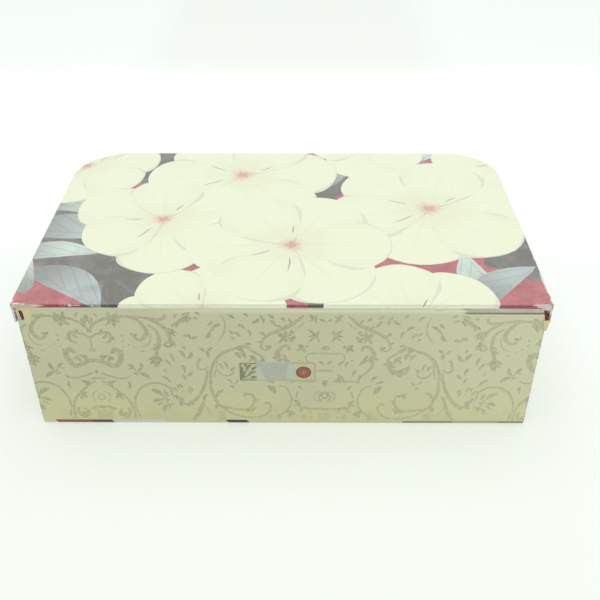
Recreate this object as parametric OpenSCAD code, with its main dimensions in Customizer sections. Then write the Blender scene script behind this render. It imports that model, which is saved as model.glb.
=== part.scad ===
// Hinged keepsake box of paper-covered board, with two rounded front corners and a shallow rimmed lid.
// Millimetres, +Z up, origin under the middle of the closed box, hinge along X at the rear, -Y side.

/* [Overall] */
// Finished width of the lid
lid_w = 254; // [180:1:360]
// Finished depth, from the rear panel to the front of the lid
box_d = 159.3; // [110:0.1:240]
// Finished height of the closed box
box_h = 77.5; // [50:0.5:140]
// Outer radius of the two front corners of the lid
corner_r = 30; // [16:0.5:48]
// Outer radius of the rear upright edges, where paper turns a folded corner
edge_r = 0.8; // [0.4:0.1:1.8]

/* [Boards and papers] */
// Thickness of the board that makes the walls
wall_t = 2; // [1:0.1:3]
// Thickness of the board in the bottom
base_t = 2; // [1:0.1:4]
// Thickness of the board in the lid
lid_t = 2.5; // [1.5:0.1:4]
// Thickness of the card band round the lid
rim_t = 0.85; // [0.5:0.05:2]
// Thickness of each pasted covering and lining paper
paper_t = 0.15; // [0.1:0.01:0.3]
// Thickness of the pasted hinge strip
strip_t = 0.25; // [0.15:0.01:0.5]
// Thickness of the paper stays that tie the rear corners
stay_t = 0.1; // [0.05:0.01:0.2]

/* [Fit of the lid] */
// Height of the lid, from its top to the lower edge of its rim
rim_h = 11; // [6:0.5:25]
// Running gap between the rim and the walls inside it
rim_gap = 0.3; // [0.3:0.05:1]
// Gap between the lined lid and the top edge of the walls
lid_gap = 0.15; // [0.1:0.01:0.5]
// Open strip of hinge that shows under the rear edge of the lid
hinge_gap = 0.8; // [0.6:0.05:2]

/* [Pasted laps] */
// Length of paper turned in over an edge, and of each hinge flap
turn_in = 12; // [5:0.5:20]
// Height of the bottom paper turned up the walls
turn_up = 2.2; // [1:0.1:6]
// Width of a corner stay on each side of its corner
stay_w = 12; // [6:0.5:20]

/* [Scored bends] */
// Number of scores across each rounded corner of the bent wall
score_count = 9; // [5:1:15]
// Depth of one score
score_depth = 0.8; // [0.3:0.1:0.9]
// Width of one score at the face of the board
score_w = 0.9; // [0.4:0.1:1.4]

/* [Label] */
// Width of the label on the rear panel
label_w = 38.5; // [15:0.5:80]
// Height of the label
label_h = 13.5; // [8:0.5:30]
// Radius of the corners of the label
label_r = 1.5; // [0.5:0.1:3]
// Thickness of the label
label_t = 0.12; // [0.05:0.01:0.3]
// Sideways place of the middle of the label
label_x = -2.6; // [-40:0.1:40]
// Height of the middle of the label above the table
label_z = 35.2; // [20:0.1:40]
// Diameter of the round seal on the label
seal_d = 7.6; // [3:0.1:7.8]
// Thickness of the round seal
seal_t = 0.1; // [0.05:0.01:0.3]
// Distance of the seal from the right edge of the label, to the middle of the seal
seal_in = 6.25; // [4:0.05:14]

/* [Hidden] */
$fn = 96;
// Overrun of every cutter past the face that it opens
over = 1;
// Layers are named by their inset from the finished outline of the tray
wall_out = paper_t;
wall_in = wall_out + wall_t;
room_in = wall_in + paper_t;
// Layers of the lid are named by their inset from the finished outline of the lid
rim_out = paper_t;
rim_in = rim_out + rim_t;
lap_in = rim_in + paper_t;
// Inset of the tray inside the lid
tray_in = lap_in + rim_gap;
rear_y = -box_d / 2;
lid_front_y = box_d / 2;
tray_front_y = lid_front_y - tray_in;
tray_w = lid_w - 2 * tray_in;
tray_r = corner_r - tray_in;
// Heights
base_top = paper_t + base_t;
room_floor = base_top + paper_t;
lid_board_top = box_h - paper_t;
lid_under = lid_board_top - lid_t;
lining_under = lid_under - paper_t;
tray_top = lining_under - lid_gap;
wall_top = tray_top - paper_t;
lap_z = tray_top - turn_in;
rim_low = box_h - rim_h;
wrap_top_rear = lid_under - hinge_gap;
// The hinge strip and its lining span the room between the side walls
hinge_half = tray_w / 2 - room_in;
strip_out_y = rear_y + wall_out;
strip_in_y = strip_out_y + strip_t;
flap_end_y = strip_in_y + turn_in;
board_color = [0.60, 0.56, 0.49];
scroll_color = [0.73, 0.75, 0.60];
floral_color = [0.94, 0.96, 0.86];
lining_color = [0.86, 0.83, 0.72];
hinge_color = [0.42, 0.13, 0.14];
seal_color = [0.58, 0.33, 0.27];

// Flat outline, straight at the rear and rounded at both ends of the front
module outline(half_w, y0, y1, front_r, back_r) {
  back = max(back_r, 0.001);
  translate([-half_w, y0 + back]) square([2 * half_w, y1 - front_r - y0 - back]);
  translate([-half_w + front_r, y0 + back]) square([2 * (half_w - front_r), y1 - y0 - back]);
  if (back_r > 0) {
    translate([-half_w + back, y0]) square([2 * (half_w - back), y1 - front_r - y0]);
    for (side = [-1, 1]) translate([side * (half_w - back), y0 + back]) circle(r = back);
  } else {
    translate([-half_w, y0]) square([2 * half_w, y1 - front_r - y0]);
  }
  for (side = [-1, 1]) translate([side * (half_w - front_r), y1 - front_r]) circle(r = front_r);
}
module tray_outline(inset) {
  outline(tray_w / 2 - inset, rear_y + inset, tray_front_y - inset, tray_r - inset, edge_r - inset);
}
module lid_outline(inset) {
  outline(lid_w / 2 - inset, rear_y + inset, lid_front_y - inset, corner_r - inset, edge_r - inset);
}
// The lid outline with its rear side run out past the hinge, for a band that is open at the rear
module lid_outline_open(inset) {
  outline(lid_w / 2 - inset, rear_y - over, lid_front_y - inset, corner_r - inset, 0);
}
// Upright layer between two insets of the tray
module tray_layer(inset_out, inset_in, z0, z1) {
  translate([0, 0, z0]) linear_extrude(z1 - z0) difference() {
    tray_outline(inset_out);
    tray_outline(inset_in);
  }
}
// Upright band of the lid, open at the rear
module lid_band(inset_out, inset_in, z0, z1) {
  translate([0, 0, z0]) linear_extrude(z1 - z0) difference() {
    lid_outline(inset_out);
    lid_outline_open(inset_in);
  }
}
module slab(x0, x1, y0, y1, z0, z1) {
  translate([x0, y0, z0]) cube([x1 - x0, y1 - y0, z1 - z0]);
}
// Board and paper between the side walls at the rear, as deep as the rear wall and its lining
module rear_zone(z0, z1) {
  slab(-hinge_half, hinge_half, rear_y - over, rear_y + room_in, z0, z1);
}

// Bottom board, set inside the walls
module base_board() {
  color(board_color) translate([0, 0, paper_t]) linear_extrude(base_t) tray_outline(wall_in);
}
// Straight rear wall, with a rebate for the hinge strip and laps for the corner stays
module rear_wall() {
  color(board_color) difference() {
    intersection() {
      translate([0, 0, paper_t]) linear_extrude(wall_top - paper_t) tray_outline(wall_out);
      slab(-tray_w, tray_w, rear_y - over, rear_y + wall_in, 0, box_h);
    }
    slab(-hinge_half, hinge_half, rear_y - over, strip_in_y, lap_z, wall_top + over);
    for (side = [-1, 1]) stay_shape(side);
  }
}
// One board bent round both sides and the front, scored inside its two round corners
module side_wall() {
  color(board_color) difference() {
    tray_layer(wall_out, wall_in, paper_t, wall_top);
    slab(-tray_w, tray_w, rear_y - over, rear_y + wall_in, 0, box_h);
    for (side = [-1, 1]) {
      stay_shape(side);
      corner_scores(side);
    }
  }
}
// Upright V scores, spread evenly over the quarter turn on the inner face of the bend
module corner_scores(side) {
  bend_r = tray_r - wall_in;
  step = 90 / score_count;
  translate([side * (tray_w / 2 - tray_r), tray_front_y - tray_r, 0]) mirror([side < 0 ? 1 : 0, 0, 0])
    for (i = [0 : score_count - 1]) rotate((i + 0.5) * step) linear_extrude(box_h)
      polygon([[bend_r - over, -score_w], [bend_r - over, score_w], [bend_r, score_w / 2],
        [bend_r + score_depth, 0], [bend_r, -score_w / 2]]);
}
// Paper tape folded round the outside of one rear corner, under the wrap and below the hinge strip
module stay_shape(side) {
  intersection() {
    tray_layer(wall_out, wall_out + stay_t, turn_up, lap_z);
    slab(min(side * tray_w, side * (tray_w / 2 - wall_out - stay_w)),
      max(side * tray_w, side * (tray_w / 2 - wall_out - stay_w)),
      rear_y - over, rear_y + wall_out + stay_w, 0, box_h);
  }
}
module corner_stay_left() {
  color(lining_color) stay_shape(-1);
}
module corner_stay_right() {
  color(lining_color) stay_shape(1);
}
// Printed paper under the bottom, turned a little way up the walls
module base_paper() {
  color(floral_color) {
    linear_extrude(paper_t) tray_outline(0);
    tray_layer(0, paper_t, paper_t, turn_up);
  }
}
// Scroll paper round all four sides, turned in over the top edge except along the hinge
module tray_wrap() {
  color(scroll_color) difference() {
    union() {
      tray_layer(0, wall_out, turn_up, tray_top);
      tray_layer(wall_out, room_in, wall_top, tray_top);
      tray_layer(wall_in, room_in, lap_z, tray_top);
    }
    rear_zone(wrap_top_rear, box_h);
    slab(-hinge_half, hinge_half, rear_y + wall_out, rear_y + room_in, 0, box_h);
  }
}
// Plain paper inside the walls, butted to the turned-in wrap and to the hinge lining
module wall_lining() {
  color(lining_color) tray_layer(wall_in, room_in, base_top, lap_z);
}
module floor_lining() {
  color(lining_color) translate([0, 0, base_top]) linear_extrude(paper_t) tray_outline(room_in);
}
// Rounded label pasted on the rear panel
module label() {
  color(scroll_color) translate([label_x, rear_y, label_z]) rotate([90, 0, 0]) linear_extrude(label_t) {
    square([label_w - 2 * label_r, label_h], center = true);
    square([label_w, label_h - 2 * label_r], center = true);
    for (sx = [-1, 1], sz = [-1, 1])
      translate([sx * (label_w / 2 - label_r), sz * (label_h / 2 - label_r)]) circle(r = label_r);
  }
}
module label_seal() {
  color(seal_color) translate([label_x + label_w / 2 - seal_in, rear_y - label_t, label_z])
    rotate([90, 0, 0]) cylinder(h = seal_t, d = seal_d);
}
// Hinge strip, pasted up the rear wall under the wrap and on the rear edge of the lid board
module hinge_strip() {
  color(hinge_color) slab(-hinge_half, hinge_half, strip_out_y, strip_in_y, lap_z, lid_board_top);
}
// Inner hinge strip: down inside the rear wall, over its top edge, and out along the underside of the lid
module hinge_lining() {
  color(hinge_color) {
    slab(-hinge_half, hinge_half, rear_y + wall_in, rear_y + room_in, lap_z, tray_top);
    slab(-hinge_half, hinge_half, strip_in_y, rear_y + room_in, wall_top, tray_top);
    slab(-hinge_half, hinge_half, strip_in_y, strip_in_y + paper_t, wall_top, lid_under);
    slab(-hinge_half, hinge_half, strip_in_y, flap_end_y, lining_under, lid_under);
  }
}
// Lid board, set inside the rim, with its rear edge cut back for the hinge strip
module lid_board() {
  color(board_color) difference() {
    translate([0, 0, lid_under]) linear_extrude(lid_t) intersection() {
      lid_outline(rim_out);
      lid_outline_open(rim_in);
    }
    slab(-hinge_half, hinge_half, rear_y - over, strip_in_y, lid_under - over, box_h);
  }
}
// Card band bent round the sides and the front of the lid board
module lid_rim() {
  color(board_color) lid_band(rim_out, rim_in, rim_low + paper_t, lid_board_top);
}
// Printed paper over the lid, down and under the rim, up inside it, and down the rear edge of the board
module lid_paper() {
  color(floral_color) difference() {
    translate([0, 0, rim_low]) linear_extrude(rim_h) lid_outline(0);
    translate([0, 0, rim_low - over]) linear_extrude(lid_under - rim_low + over) lid_outline_open(lap_in);
    translate([0, 0, lid_under]) linear_extrude(lid_t) lid_outline(rim_out);
    lid_band(rim_out, rim_in, rim_low + paper_t, lid_board_top);
  }
}
// Plain paper on the underside of the lid, butted to the hinge lining
module lid_lining() {
  color(lining_color) difference() {
    translate([0, 0, lining_under]) linear_extrude(paper_t) intersection() {
      lid_outline(rim_out);
      lid_outline_open(lap_in);
    }
    slab(-hinge_half, hinge_half, rear_y - over, flap_end_y, lining_under - over, lid_under + over);
  }
}

base_board();
rear_wall();
side_wall();
corner_stay_left();
corner_stay_right();
base_paper();
tray_wrap();
wall_lining();
floor_lining();
label();
label_seal();
hinge_strip();
hinge_lining();
lid_board();
lid_rim();
lid_paper();
lid_lining();
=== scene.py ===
"""A paper-covered board box for sewing things, with a hinged, rimmed lid.

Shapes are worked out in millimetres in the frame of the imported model, and become metres when a
mesh is made. Printed papers are cut flat, together with their print, and folded round the box.
"""

import itertools
import math

import bpy
import numpy as np
from mathutils import Matrix, Vector
from mathutils.geometry import delaunay_2d_cdt


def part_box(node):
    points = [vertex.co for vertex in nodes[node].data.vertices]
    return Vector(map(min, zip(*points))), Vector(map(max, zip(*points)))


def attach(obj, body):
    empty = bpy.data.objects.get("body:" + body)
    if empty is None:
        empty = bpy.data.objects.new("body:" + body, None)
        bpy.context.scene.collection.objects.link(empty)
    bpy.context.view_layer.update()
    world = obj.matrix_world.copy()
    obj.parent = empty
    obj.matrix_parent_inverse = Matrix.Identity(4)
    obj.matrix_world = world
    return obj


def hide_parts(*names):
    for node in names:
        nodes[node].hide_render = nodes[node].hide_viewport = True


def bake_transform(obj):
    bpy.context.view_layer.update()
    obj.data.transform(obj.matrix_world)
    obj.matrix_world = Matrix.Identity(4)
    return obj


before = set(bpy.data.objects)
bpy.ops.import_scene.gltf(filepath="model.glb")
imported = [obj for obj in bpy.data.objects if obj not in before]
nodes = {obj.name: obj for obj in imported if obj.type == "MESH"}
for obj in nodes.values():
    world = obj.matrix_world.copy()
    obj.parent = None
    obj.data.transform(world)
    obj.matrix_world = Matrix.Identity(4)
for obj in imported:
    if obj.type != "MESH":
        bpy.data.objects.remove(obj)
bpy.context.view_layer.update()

MM = 0.001
TINY = 1e-6


def box_mm(node):
    """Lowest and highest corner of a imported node, in millimetres."""
    return [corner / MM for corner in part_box(node)]


wrap_low, wrap_high = box_mm("tray_wrap")
cover_low, cover_high = box_mm("lid_paper")
label_low, label_high = box_mm("label")
seal_low, seal_high = box_mm("label_seal")
strip_low, strip_high = box_mm("hinge_strip")
flap_low, flap_high = box_mm("hinge_lining")

# Thicknesses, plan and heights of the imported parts, in mm
PAPER = 0.15
BOARD = 2.0
REAR_Y = wrap_low.y
TRAY_HALF = wrap_high.x
TRAY_FRONT = wrap_high.y
TRAY_TOP = wrap_high.z
TURN_UP = wrap_low.z
LID_HALF = cover_high.x
LID_FRONT = cover_high.y
LID_TOP = cover_high.z
LID_CORNER = 30.0
TRAY_CORNER = LID_CORNER - (LID_HALF - TRAY_HALF)
WALL_LAYERS = BOARD + 2 * PAPER
LAP_Z = strip_low.z
WRAP_TOP_REAR = TRAY_TOP - 0.5
HINGE_HALF = strip_high.x
RIM_LOW = cover_low.z
RIM_LAYERS = 1.15
LID_UNDER = flap_high.z
SQUARE_CORNER = 0.8

# What the corners of a printed face are part of
GROUND, PETAL, LEAF, SCUFF, PLAIN, HOLLOW = 0.0, 1.0, 2.0, 3.0, 4.0, 5.0


class Signal:
    """One value in a node tree. Arithmetic on it adds Math nodes."""

    def __init__(self, tree, socket):
        self.tree = tree
        self.socket = socket

    def math(self, operation, *values):
        return self.tree.node("ShaderNodeMath", {"operation": operation}, values)

    def __add__(self, other):
        return self.math("ADD", self, other)

    def __radd__(self, other):
        return self.math("ADD", other, self)

    def __sub__(self, other):
        return self.math("SUBTRACT", self, other)

    def __rsub__(self, other):
        return self.math("SUBTRACT", other, self)

    def __mul__(self, other):
        return self.math("MULTIPLY", self, other)

    def __rmul__(self, other):
        return self.math("MULTIPLY", other, self)

    def __truediv__(self, other):
        return self.math("DIVIDE", self, other)

    def __rtruediv__(self, other):
        return self.math("DIVIDE", other, self)

    def __pow__(self, other):
        return self.math("POWER", self, other)

    def __abs__(self):
        return self.math("ABSOLUTE", self)

    def sine(self):
        return self.math("SINE", self)

    def most(self, other):
        return self.math("MAXIMUM", self, other)

    def ramp(self, low, high, to_low=0.0, to_high=1.0):
        """Smooth, clamped change from to_low to to_high as the value goes from low to high."""
        return self.tree.node(
            "ShaderNodeMapRange",
            {"interpolation_type": "SMOOTHSTEP"},
            {"Value": self, "From Min": low, "From Max": high, "To Min": to_low, "To Max": to_high},
        )


class Tree:
    """A node tree, and one method for any node in it."""

    def __init__(self, tree):
        self.tree = tree

    def node(self, kind, settings=None, inputs=(), output=0):
        """Adds a node: its settings first, then the values or links of its sockets."""
        made = self.tree.nodes.new(kind)
        for words, value in (settings or {}).items():
            setattr(made, words, value)
        named = inputs.items() if isinstance(inputs, dict) else enumerate(inputs)
        for key, value in named:
            self.feed(made.inputs[key], value)
        return Signal(self, made.outputs[output])

    def feed(self, socket, value):
        if isinstance(value, Signal):
            self.tree.links.new(value.socket, socket)
        else:
            socket.default_value = value

    def seen(self):
        """1 for what the camera sees, straight or mirrored, and 0 for light that falls on things."""
        seen = self.node("ShaderNodeLightPath", output="Is Camera Ray")
        for ray in ("Is Glossy Ray", "Is Transmission Ray"):
            seen = seen.most(self.node("ShaderNodeLightPath", output=ray))
        return seen


class Finish(Tree):
    """A material built round one Principled shader. Constants go on the shader's own sockets."""

    def __init__(self, name, **constants):
        self.material = bpy.data.materials.new(name)
        self.material.use_nodes = True
        super().__init__(self.material.node_tree)
        self.shader = self.tree.nodes["Principled BSDF"]
        self.shade(**constants)

    def shade(self, **sockets):
        """Feeds the shader's own sockets with constants or with what changes over the surface."""
        for words, value in sockets.items():
            self.feed(self.shader.inputs[words.replace("_", " ")], value)
        return self.material

    def place(self):
        """The point in metres, in the frame of the object."""
        return self.node("ShaderNodeTexCoord", output="Object")

    def axis(self, name):
        """One coordinate of the point, in millimetres."""
        return self.node("ShaderNodeSeparateXYZ", inputs=[self.place()], output=name) / MM

    def split(self, vector):
        """The three parts of a vector."""
        parts = self.node("ShaderNodeSeparateXYZ", inputs=[vector]).socket.node.outputs
        return [Signal(self, part) for part in parts]

    def mark(self, name, output="Fac"):
        """A value that the mesh carries at its corners."""
        return self.node("ShaderNodeAttribute", {"attribute_name": name}, output=output)

    def noise(self, size_mm, detail=2.0, roughness=0.5, scale=(1.0, 1.0, 1.0)):
        """Soft noise with features of about size_mm. Runs from 0 to 1 about a middle of 0.5."""
        stretched = self.node("ShaderNodeMapping", inputs={"Vector": self.place(), "Scale": scale})
        return self.node("ShaderNodeTexNoise", inputs={
            "Vector": stretched, "Scale": 1.0 / (size_mm * MM), "Detail": detail, "Roughness": roughness,
        })

    def mix(self, factor, first, second, blend="MIX"):
        """A colour between two colours, given as RGB or as links."""
        made = self.tree.nodes.new("ShaderNodeMix")
        made.data_type = "RGBA"
        made.blend_type = blend
        self.feed(made.inputs[0], factor)
        for socket, value in ((made.inputs[6], first), (made.inputs[7], second)):
            self.feed(socket, value if isinstance(value, Signal) else (*value, 1.0))
        return Signal(self, made.outputs[2])

    def bump(self, height, depth_mm, strength):
        return self.node("ShaderNodeBump", inputs={
            "Height": height, "Distance": depth_mm * MM, "Strength": strength,
        })


def linear(red, green, blue):
    """Linear colour of a tone given in the usual 0 to 255 steps."""
    tones = [value / 255 for value in (red, green, blue)]
    return tuple(t / 12.92 if t <= 0.04045 else ((t + 0.055) / 1.055) ** 2.4 for t in tones)


def between(value, low, high):
    """The value, kept from low to high."""
    return min(max(value, low), high)


def rotated(vector, angle):
    """A flat vector turned by an angle in radians."""
    cosine, sine = math.cos(angle), math.sin(angle)
    return Vector((vector.x * cosine - vector.y * sine, vector.x * sine + vector.y * cosine))


def spoke(degrees):
    """The flat direction at an angle."""
    angle = math.radians(degrees)
    return Vector((math.cos(angle), math.sin(angle)))


def add_object(name, data):
    """Puts a mesh, a lamp or a camera in the scene."""
    made = bpy.data.objects.new(name, data)
    bpy.context.scene.collection.objects.link(made)
    return made


def tube_faces(first, rings, around):
    """Faces between rings of corners, and a cap at either end."""
    faces = []
    for ring in range(rings - 1):
        for i in range(around):
            a, b = first + ring * around + i, first + ring * around + (i + 1) % around
            faces.append((a, b, b + around, a + around))
    last = first + (rings - 1) * around
    return [*faces, tuple(reversed(range(first, first + around))), tuple(range(last, last + around))]


def round_solid(name, verts, faces, finish):
    """A solid whose four-sided faces are smooth and whose caps are flat."""
    mesh = bpy.data.meshes.new(name)
    mesh.from_pydata(verts, [], faces)
    mesh.materials.append(finish)
    mesh.polygons.foreach_set("use_smooth", [len(face) == 4 for face in faces])
    return add_object(name, mesh)


class Path:
    """A flat line with rounded corners. The outward side is on the right of its run, or on its left.

    Each part of it is where it begins, how long it is, its start or centre, its way or first spoke,
    its outward normal and its turn, which is None for a straight part.
    """

    def __init__(self, points, radii, side=1):
        self.parts = []
        self.length = 0.0
        self.side = side
        points = [Vector(p) for p in points]
        start = points[0]
        for i in range(1, len(points)):
            along = (points[i] - points[i - 1]).normalized()
            if i == len(points) - 1:
                self.add_line(start, points[i])
                break
            radius = radii[i - 1]
            after = (points[i + 1] - points[i]).normalized()
            turn = math.atan2(along.cross(after), along.dot(after))
            cut = radius * math.tan(abs(turn) / 2)
            self.add_line(start, points[i] - along * cut)
            left = Vector((-along.y, along.x)) * math.copysign(1, turn)
            self.add_arc(points[i] - along * cut + left * radius, -left, radius, turn)
            start = points[i] + after * cut

    def add_line(self, start, end):
        run = end - start
        if run.length > 1e-9:
            along = run.normalized()
            normal = Vector((along.y, -along.x)) * self.side
            self.parts.append((self.length, run.length, start, along, normal, None))
            self.length += run.length

    def add_arc(self, centre, first_spoke, radius, turn):
        out = first_spoke * (self.side * math.copysign(1, turn))
        length = radius * abs(turn)
        self.parts.append((self.length, length, centre, first_spoke * radius, out, turn))
        self.length += length

    def at(self, distance):
        """The point and the outward normal at a distance along the line, or at its nearer end."""
        distance = between(distance, 0, self.length)
        reached = [part for part in self.parts if part[0] <= distance + 1e-9]
        begin, length, base, along, normal, turn = reached[-1]
        if turn is None:
            return base + along * (distance - begin), normal
        angle = turn * (distance - begin) / length
        return base + rotated(along, angle), rotated(normal, angle)

    def bends(self, step):
        """Distances at which a sheet is creased to follow the rounded corners."""
        found = []
        for begin, length, *_rest, turn in self.parts:
            if turn is not None:
                count = max(2, round(abs(math.degrees(turn)) / step))
                found += [begin + length * i / count for i in range(count + 1)]
        return found


class Motif:
    """One printed shape on a flat sheet, with the values that its corners carry."""

    def __init__(self, points, lay=None, **values):
        self.points = [Vector(p) for p in points]
        around = zip(self.points, self.points[1:] + self.points[:1])
        if sum(here.cross(there) for here, there in around) < 0:
            self.points.reverse()
        self.lay = lay
        self.values = values


def smooth_line(points):
    """A soft line through the points. A point may carry more numbers, which are softened too."""
    points = [np.array(p, float) for p in points]
    ends = [2 * points[0] - points[1], *points, 2 * points[-1] - points[-2]]
    steps = 4
    line = []
    for before, start, end, after in zip(ends, ends[1:], ends[2:], ends[3:]):
        for i in range(steps):
            t = i / steps
            square = 2 * before - 5 * start + 4 * end - after
            cube = 3 * start - before - 3 * end + after
            line.append(0.5 * (2 * start + (end - before) * t + square * t**2 + cube * t**3))
    return [*line, points[-1]]


def stroke_outline(points, widths):
    """Outline of a brush stroke whose width runs from the first to the middle to the last of widths."""
    line = smooth_line(points)
    count = len(line) - 1
    left, right = [], []
    for i, point in enumerate(line):
        run = line[min(i + 1, count)] - line[max(i - 1, 0)]
        across = np.array((-run[1], run[0])) / max(np.hypot(*run), TINY)
        t = 2 * i / count
        wide = widths[0] + (widths[1] - widths[0]) * t
        if t > 1:
            wide = widths[1] + (widths[2] - widths[1]) * (t - 1)
        left.append(point + across * wide / 2)
        right.append(point - across * wide / 2)
    return left + right[::-1]


def leaf_outline(base, tip, width, bend=0.1, steps=5):
    """Outline of a pointed leaf from its base to its tip, bowed to one side."""
    base, tip = np.array(base, float), np.array(tip, float)
    run = tip - base
    length = np.hypot(*run)
    across = np.array((-run[1], run[0])) / max(length, TINY)
    left, right = [], []
    for i in range(steps + 1):
        t = i / steps
        middle = base + run * t + across * bend * length * math.sin(math.pi * t)
        half = width / 2 * math.sin(math.pi * t**0.8) ** 0.75
        if i in (0, steps):
            left.append(middle)
            continue
        left.append(middle + across * half)
        right.append(middle - across * half)
    return left + right[::-1]


MARK_FIELDS = {"FLOAT": "value", "FLOAT_VECTOR": "vector", "FLOAT_COLOR": "color"}
WELD = 1e-4


class Sheet:
    """A flat sheet of paper, its print and its creases, folded into a thin closed solid."""

    def __init__(self, name, outlines, thickness=PAPER):
        self.name = name
        self.outlines = [Motif(outline) for outline in outlines]
        self.print = []
        self.creases = []
        self.points = []
        self.thickness = thickness

    def cut(self):
        """Flat triangles inside the sheet, each with the printed motif on top of it."""
        shapes = [*self.outlines, *self.print]
        verts = []
        faces = []
        for shape in shapes:
            faces.append(list(range(len(verts), len(verts) + len(shape.points))))
            verts += shape.points
        edges = []
        for start, end in self.creases:
            edges.append((len(verts), len(verts) + 1))
            verts += [Vector(start), Vector(end)]
        verts += [Vector(p) for p in self.points]
        made = delaunay_2d_cdt(verts, edges, faces, 1, WELD)
        out_verts, out_faces, sources = made[0], made[2], made[5]
        first_print = len(self.outlines)
        kept = []
        for face, source in zip(out_faces, sources):
            if source and min(source) < first_print:
                top = max(source)
                kept.append((face, shapes[top] if top >= first_print else None))
        return [Vector(v[:2]) for v in out_verts], kept

    def fold(self, place, marks, paper, core):
        """Folds the sheet by place(flat point), which gives a point in mm and an outward normal.

        marks names the corner values: each gives its value at a flat point under a motif or None.
        """
        flat, kept = self.cut()
        used = sorted({i for face, _ in kept for i in face})
        order = {old: new for new, old in enumerate(used)}
        count = len(used)
        spots = [place(flat[i]) for i in used]
        outward = [normal for _, normal in spots]
        verts = [point * MM for point, _ in spots]
        verts += [(point - normal * self.thickness) * MM for point, normal in spots]
        faces, motifs, normals, finishes = [], [], [], []

        def add(ring, motif, ring_normals, finish):
            faces.append(ring)
            motifs.append(motif)
            normals.extend(ring_normals)
            finishes.append(finish)

        open_edges = {}
        for face, motif in kept:
            ring = [order[i] for i in face]
            normal = (verts[ring[1]] - verts[ring[0]]).cross(verts[ring[2]] - verts[ring[0]])
            if normal.dot(outward[ring[0]] + outward[ring[1]] + outward[ring[2]]) < 0:
                ring.reverse()
            add(ring, motif, [outward[i] for i in ring], 0)
            back = ring[::-1]
            add([i + count for i in back], None, [-outward[i] for i in back], 1)
            for start, end in zip(ring, ring[1:] + ring[:1]):
                if open_edges.pop((end, start), None) is None:
                    open_edges[start, end] = True
        for start, end in open_edges:
            side = (verts[end] - verts[start]).cross(outward[start]).normalized()
            add([end, start, start + count, end + count], None, [side] * 4, 1)
        mesh = bpy.data.meshes.new(self.name)
        mesh.from_pydata(verts, [], faces)
        for finish in (paper, core):
            mesh.materials.append(finish)
        mesh.polygons.foreach_set("material_index", finishes)
        mesh.polygons.foreach_set("use_smooth", [True] * len(faces))
        spread = [(motif, flat[used[i % count]]) for ring, motif in zip(faces, motifs) for i in ring]
        for name, (kind, value) in marks.items():
            layer = mesh.attributes.new(name, kind, "CORNER")
            numbers = np.array([value(motif, spot) for motif, spot in spread], np.float32)
            layer.data.foreach_set(MARK_FIELDS[kind], numbers.ravel())
        mesh.normals_split_custom_set([tuple(n) for n in normals])
        return add_object(self.name, mesh)


PRINT_HALF = 113.7
PRINT_AXIS_X = -92.6
PRINT_LIFT = 72.6
PRINT_SLANT = 0.0135
PRINT_LEVEL_X = -66.0
PRINT_DROP = 0.8
STROKE_INK = 0.85
LEAF_INK = 1.0
BLOCK_INK = 0.4

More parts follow.
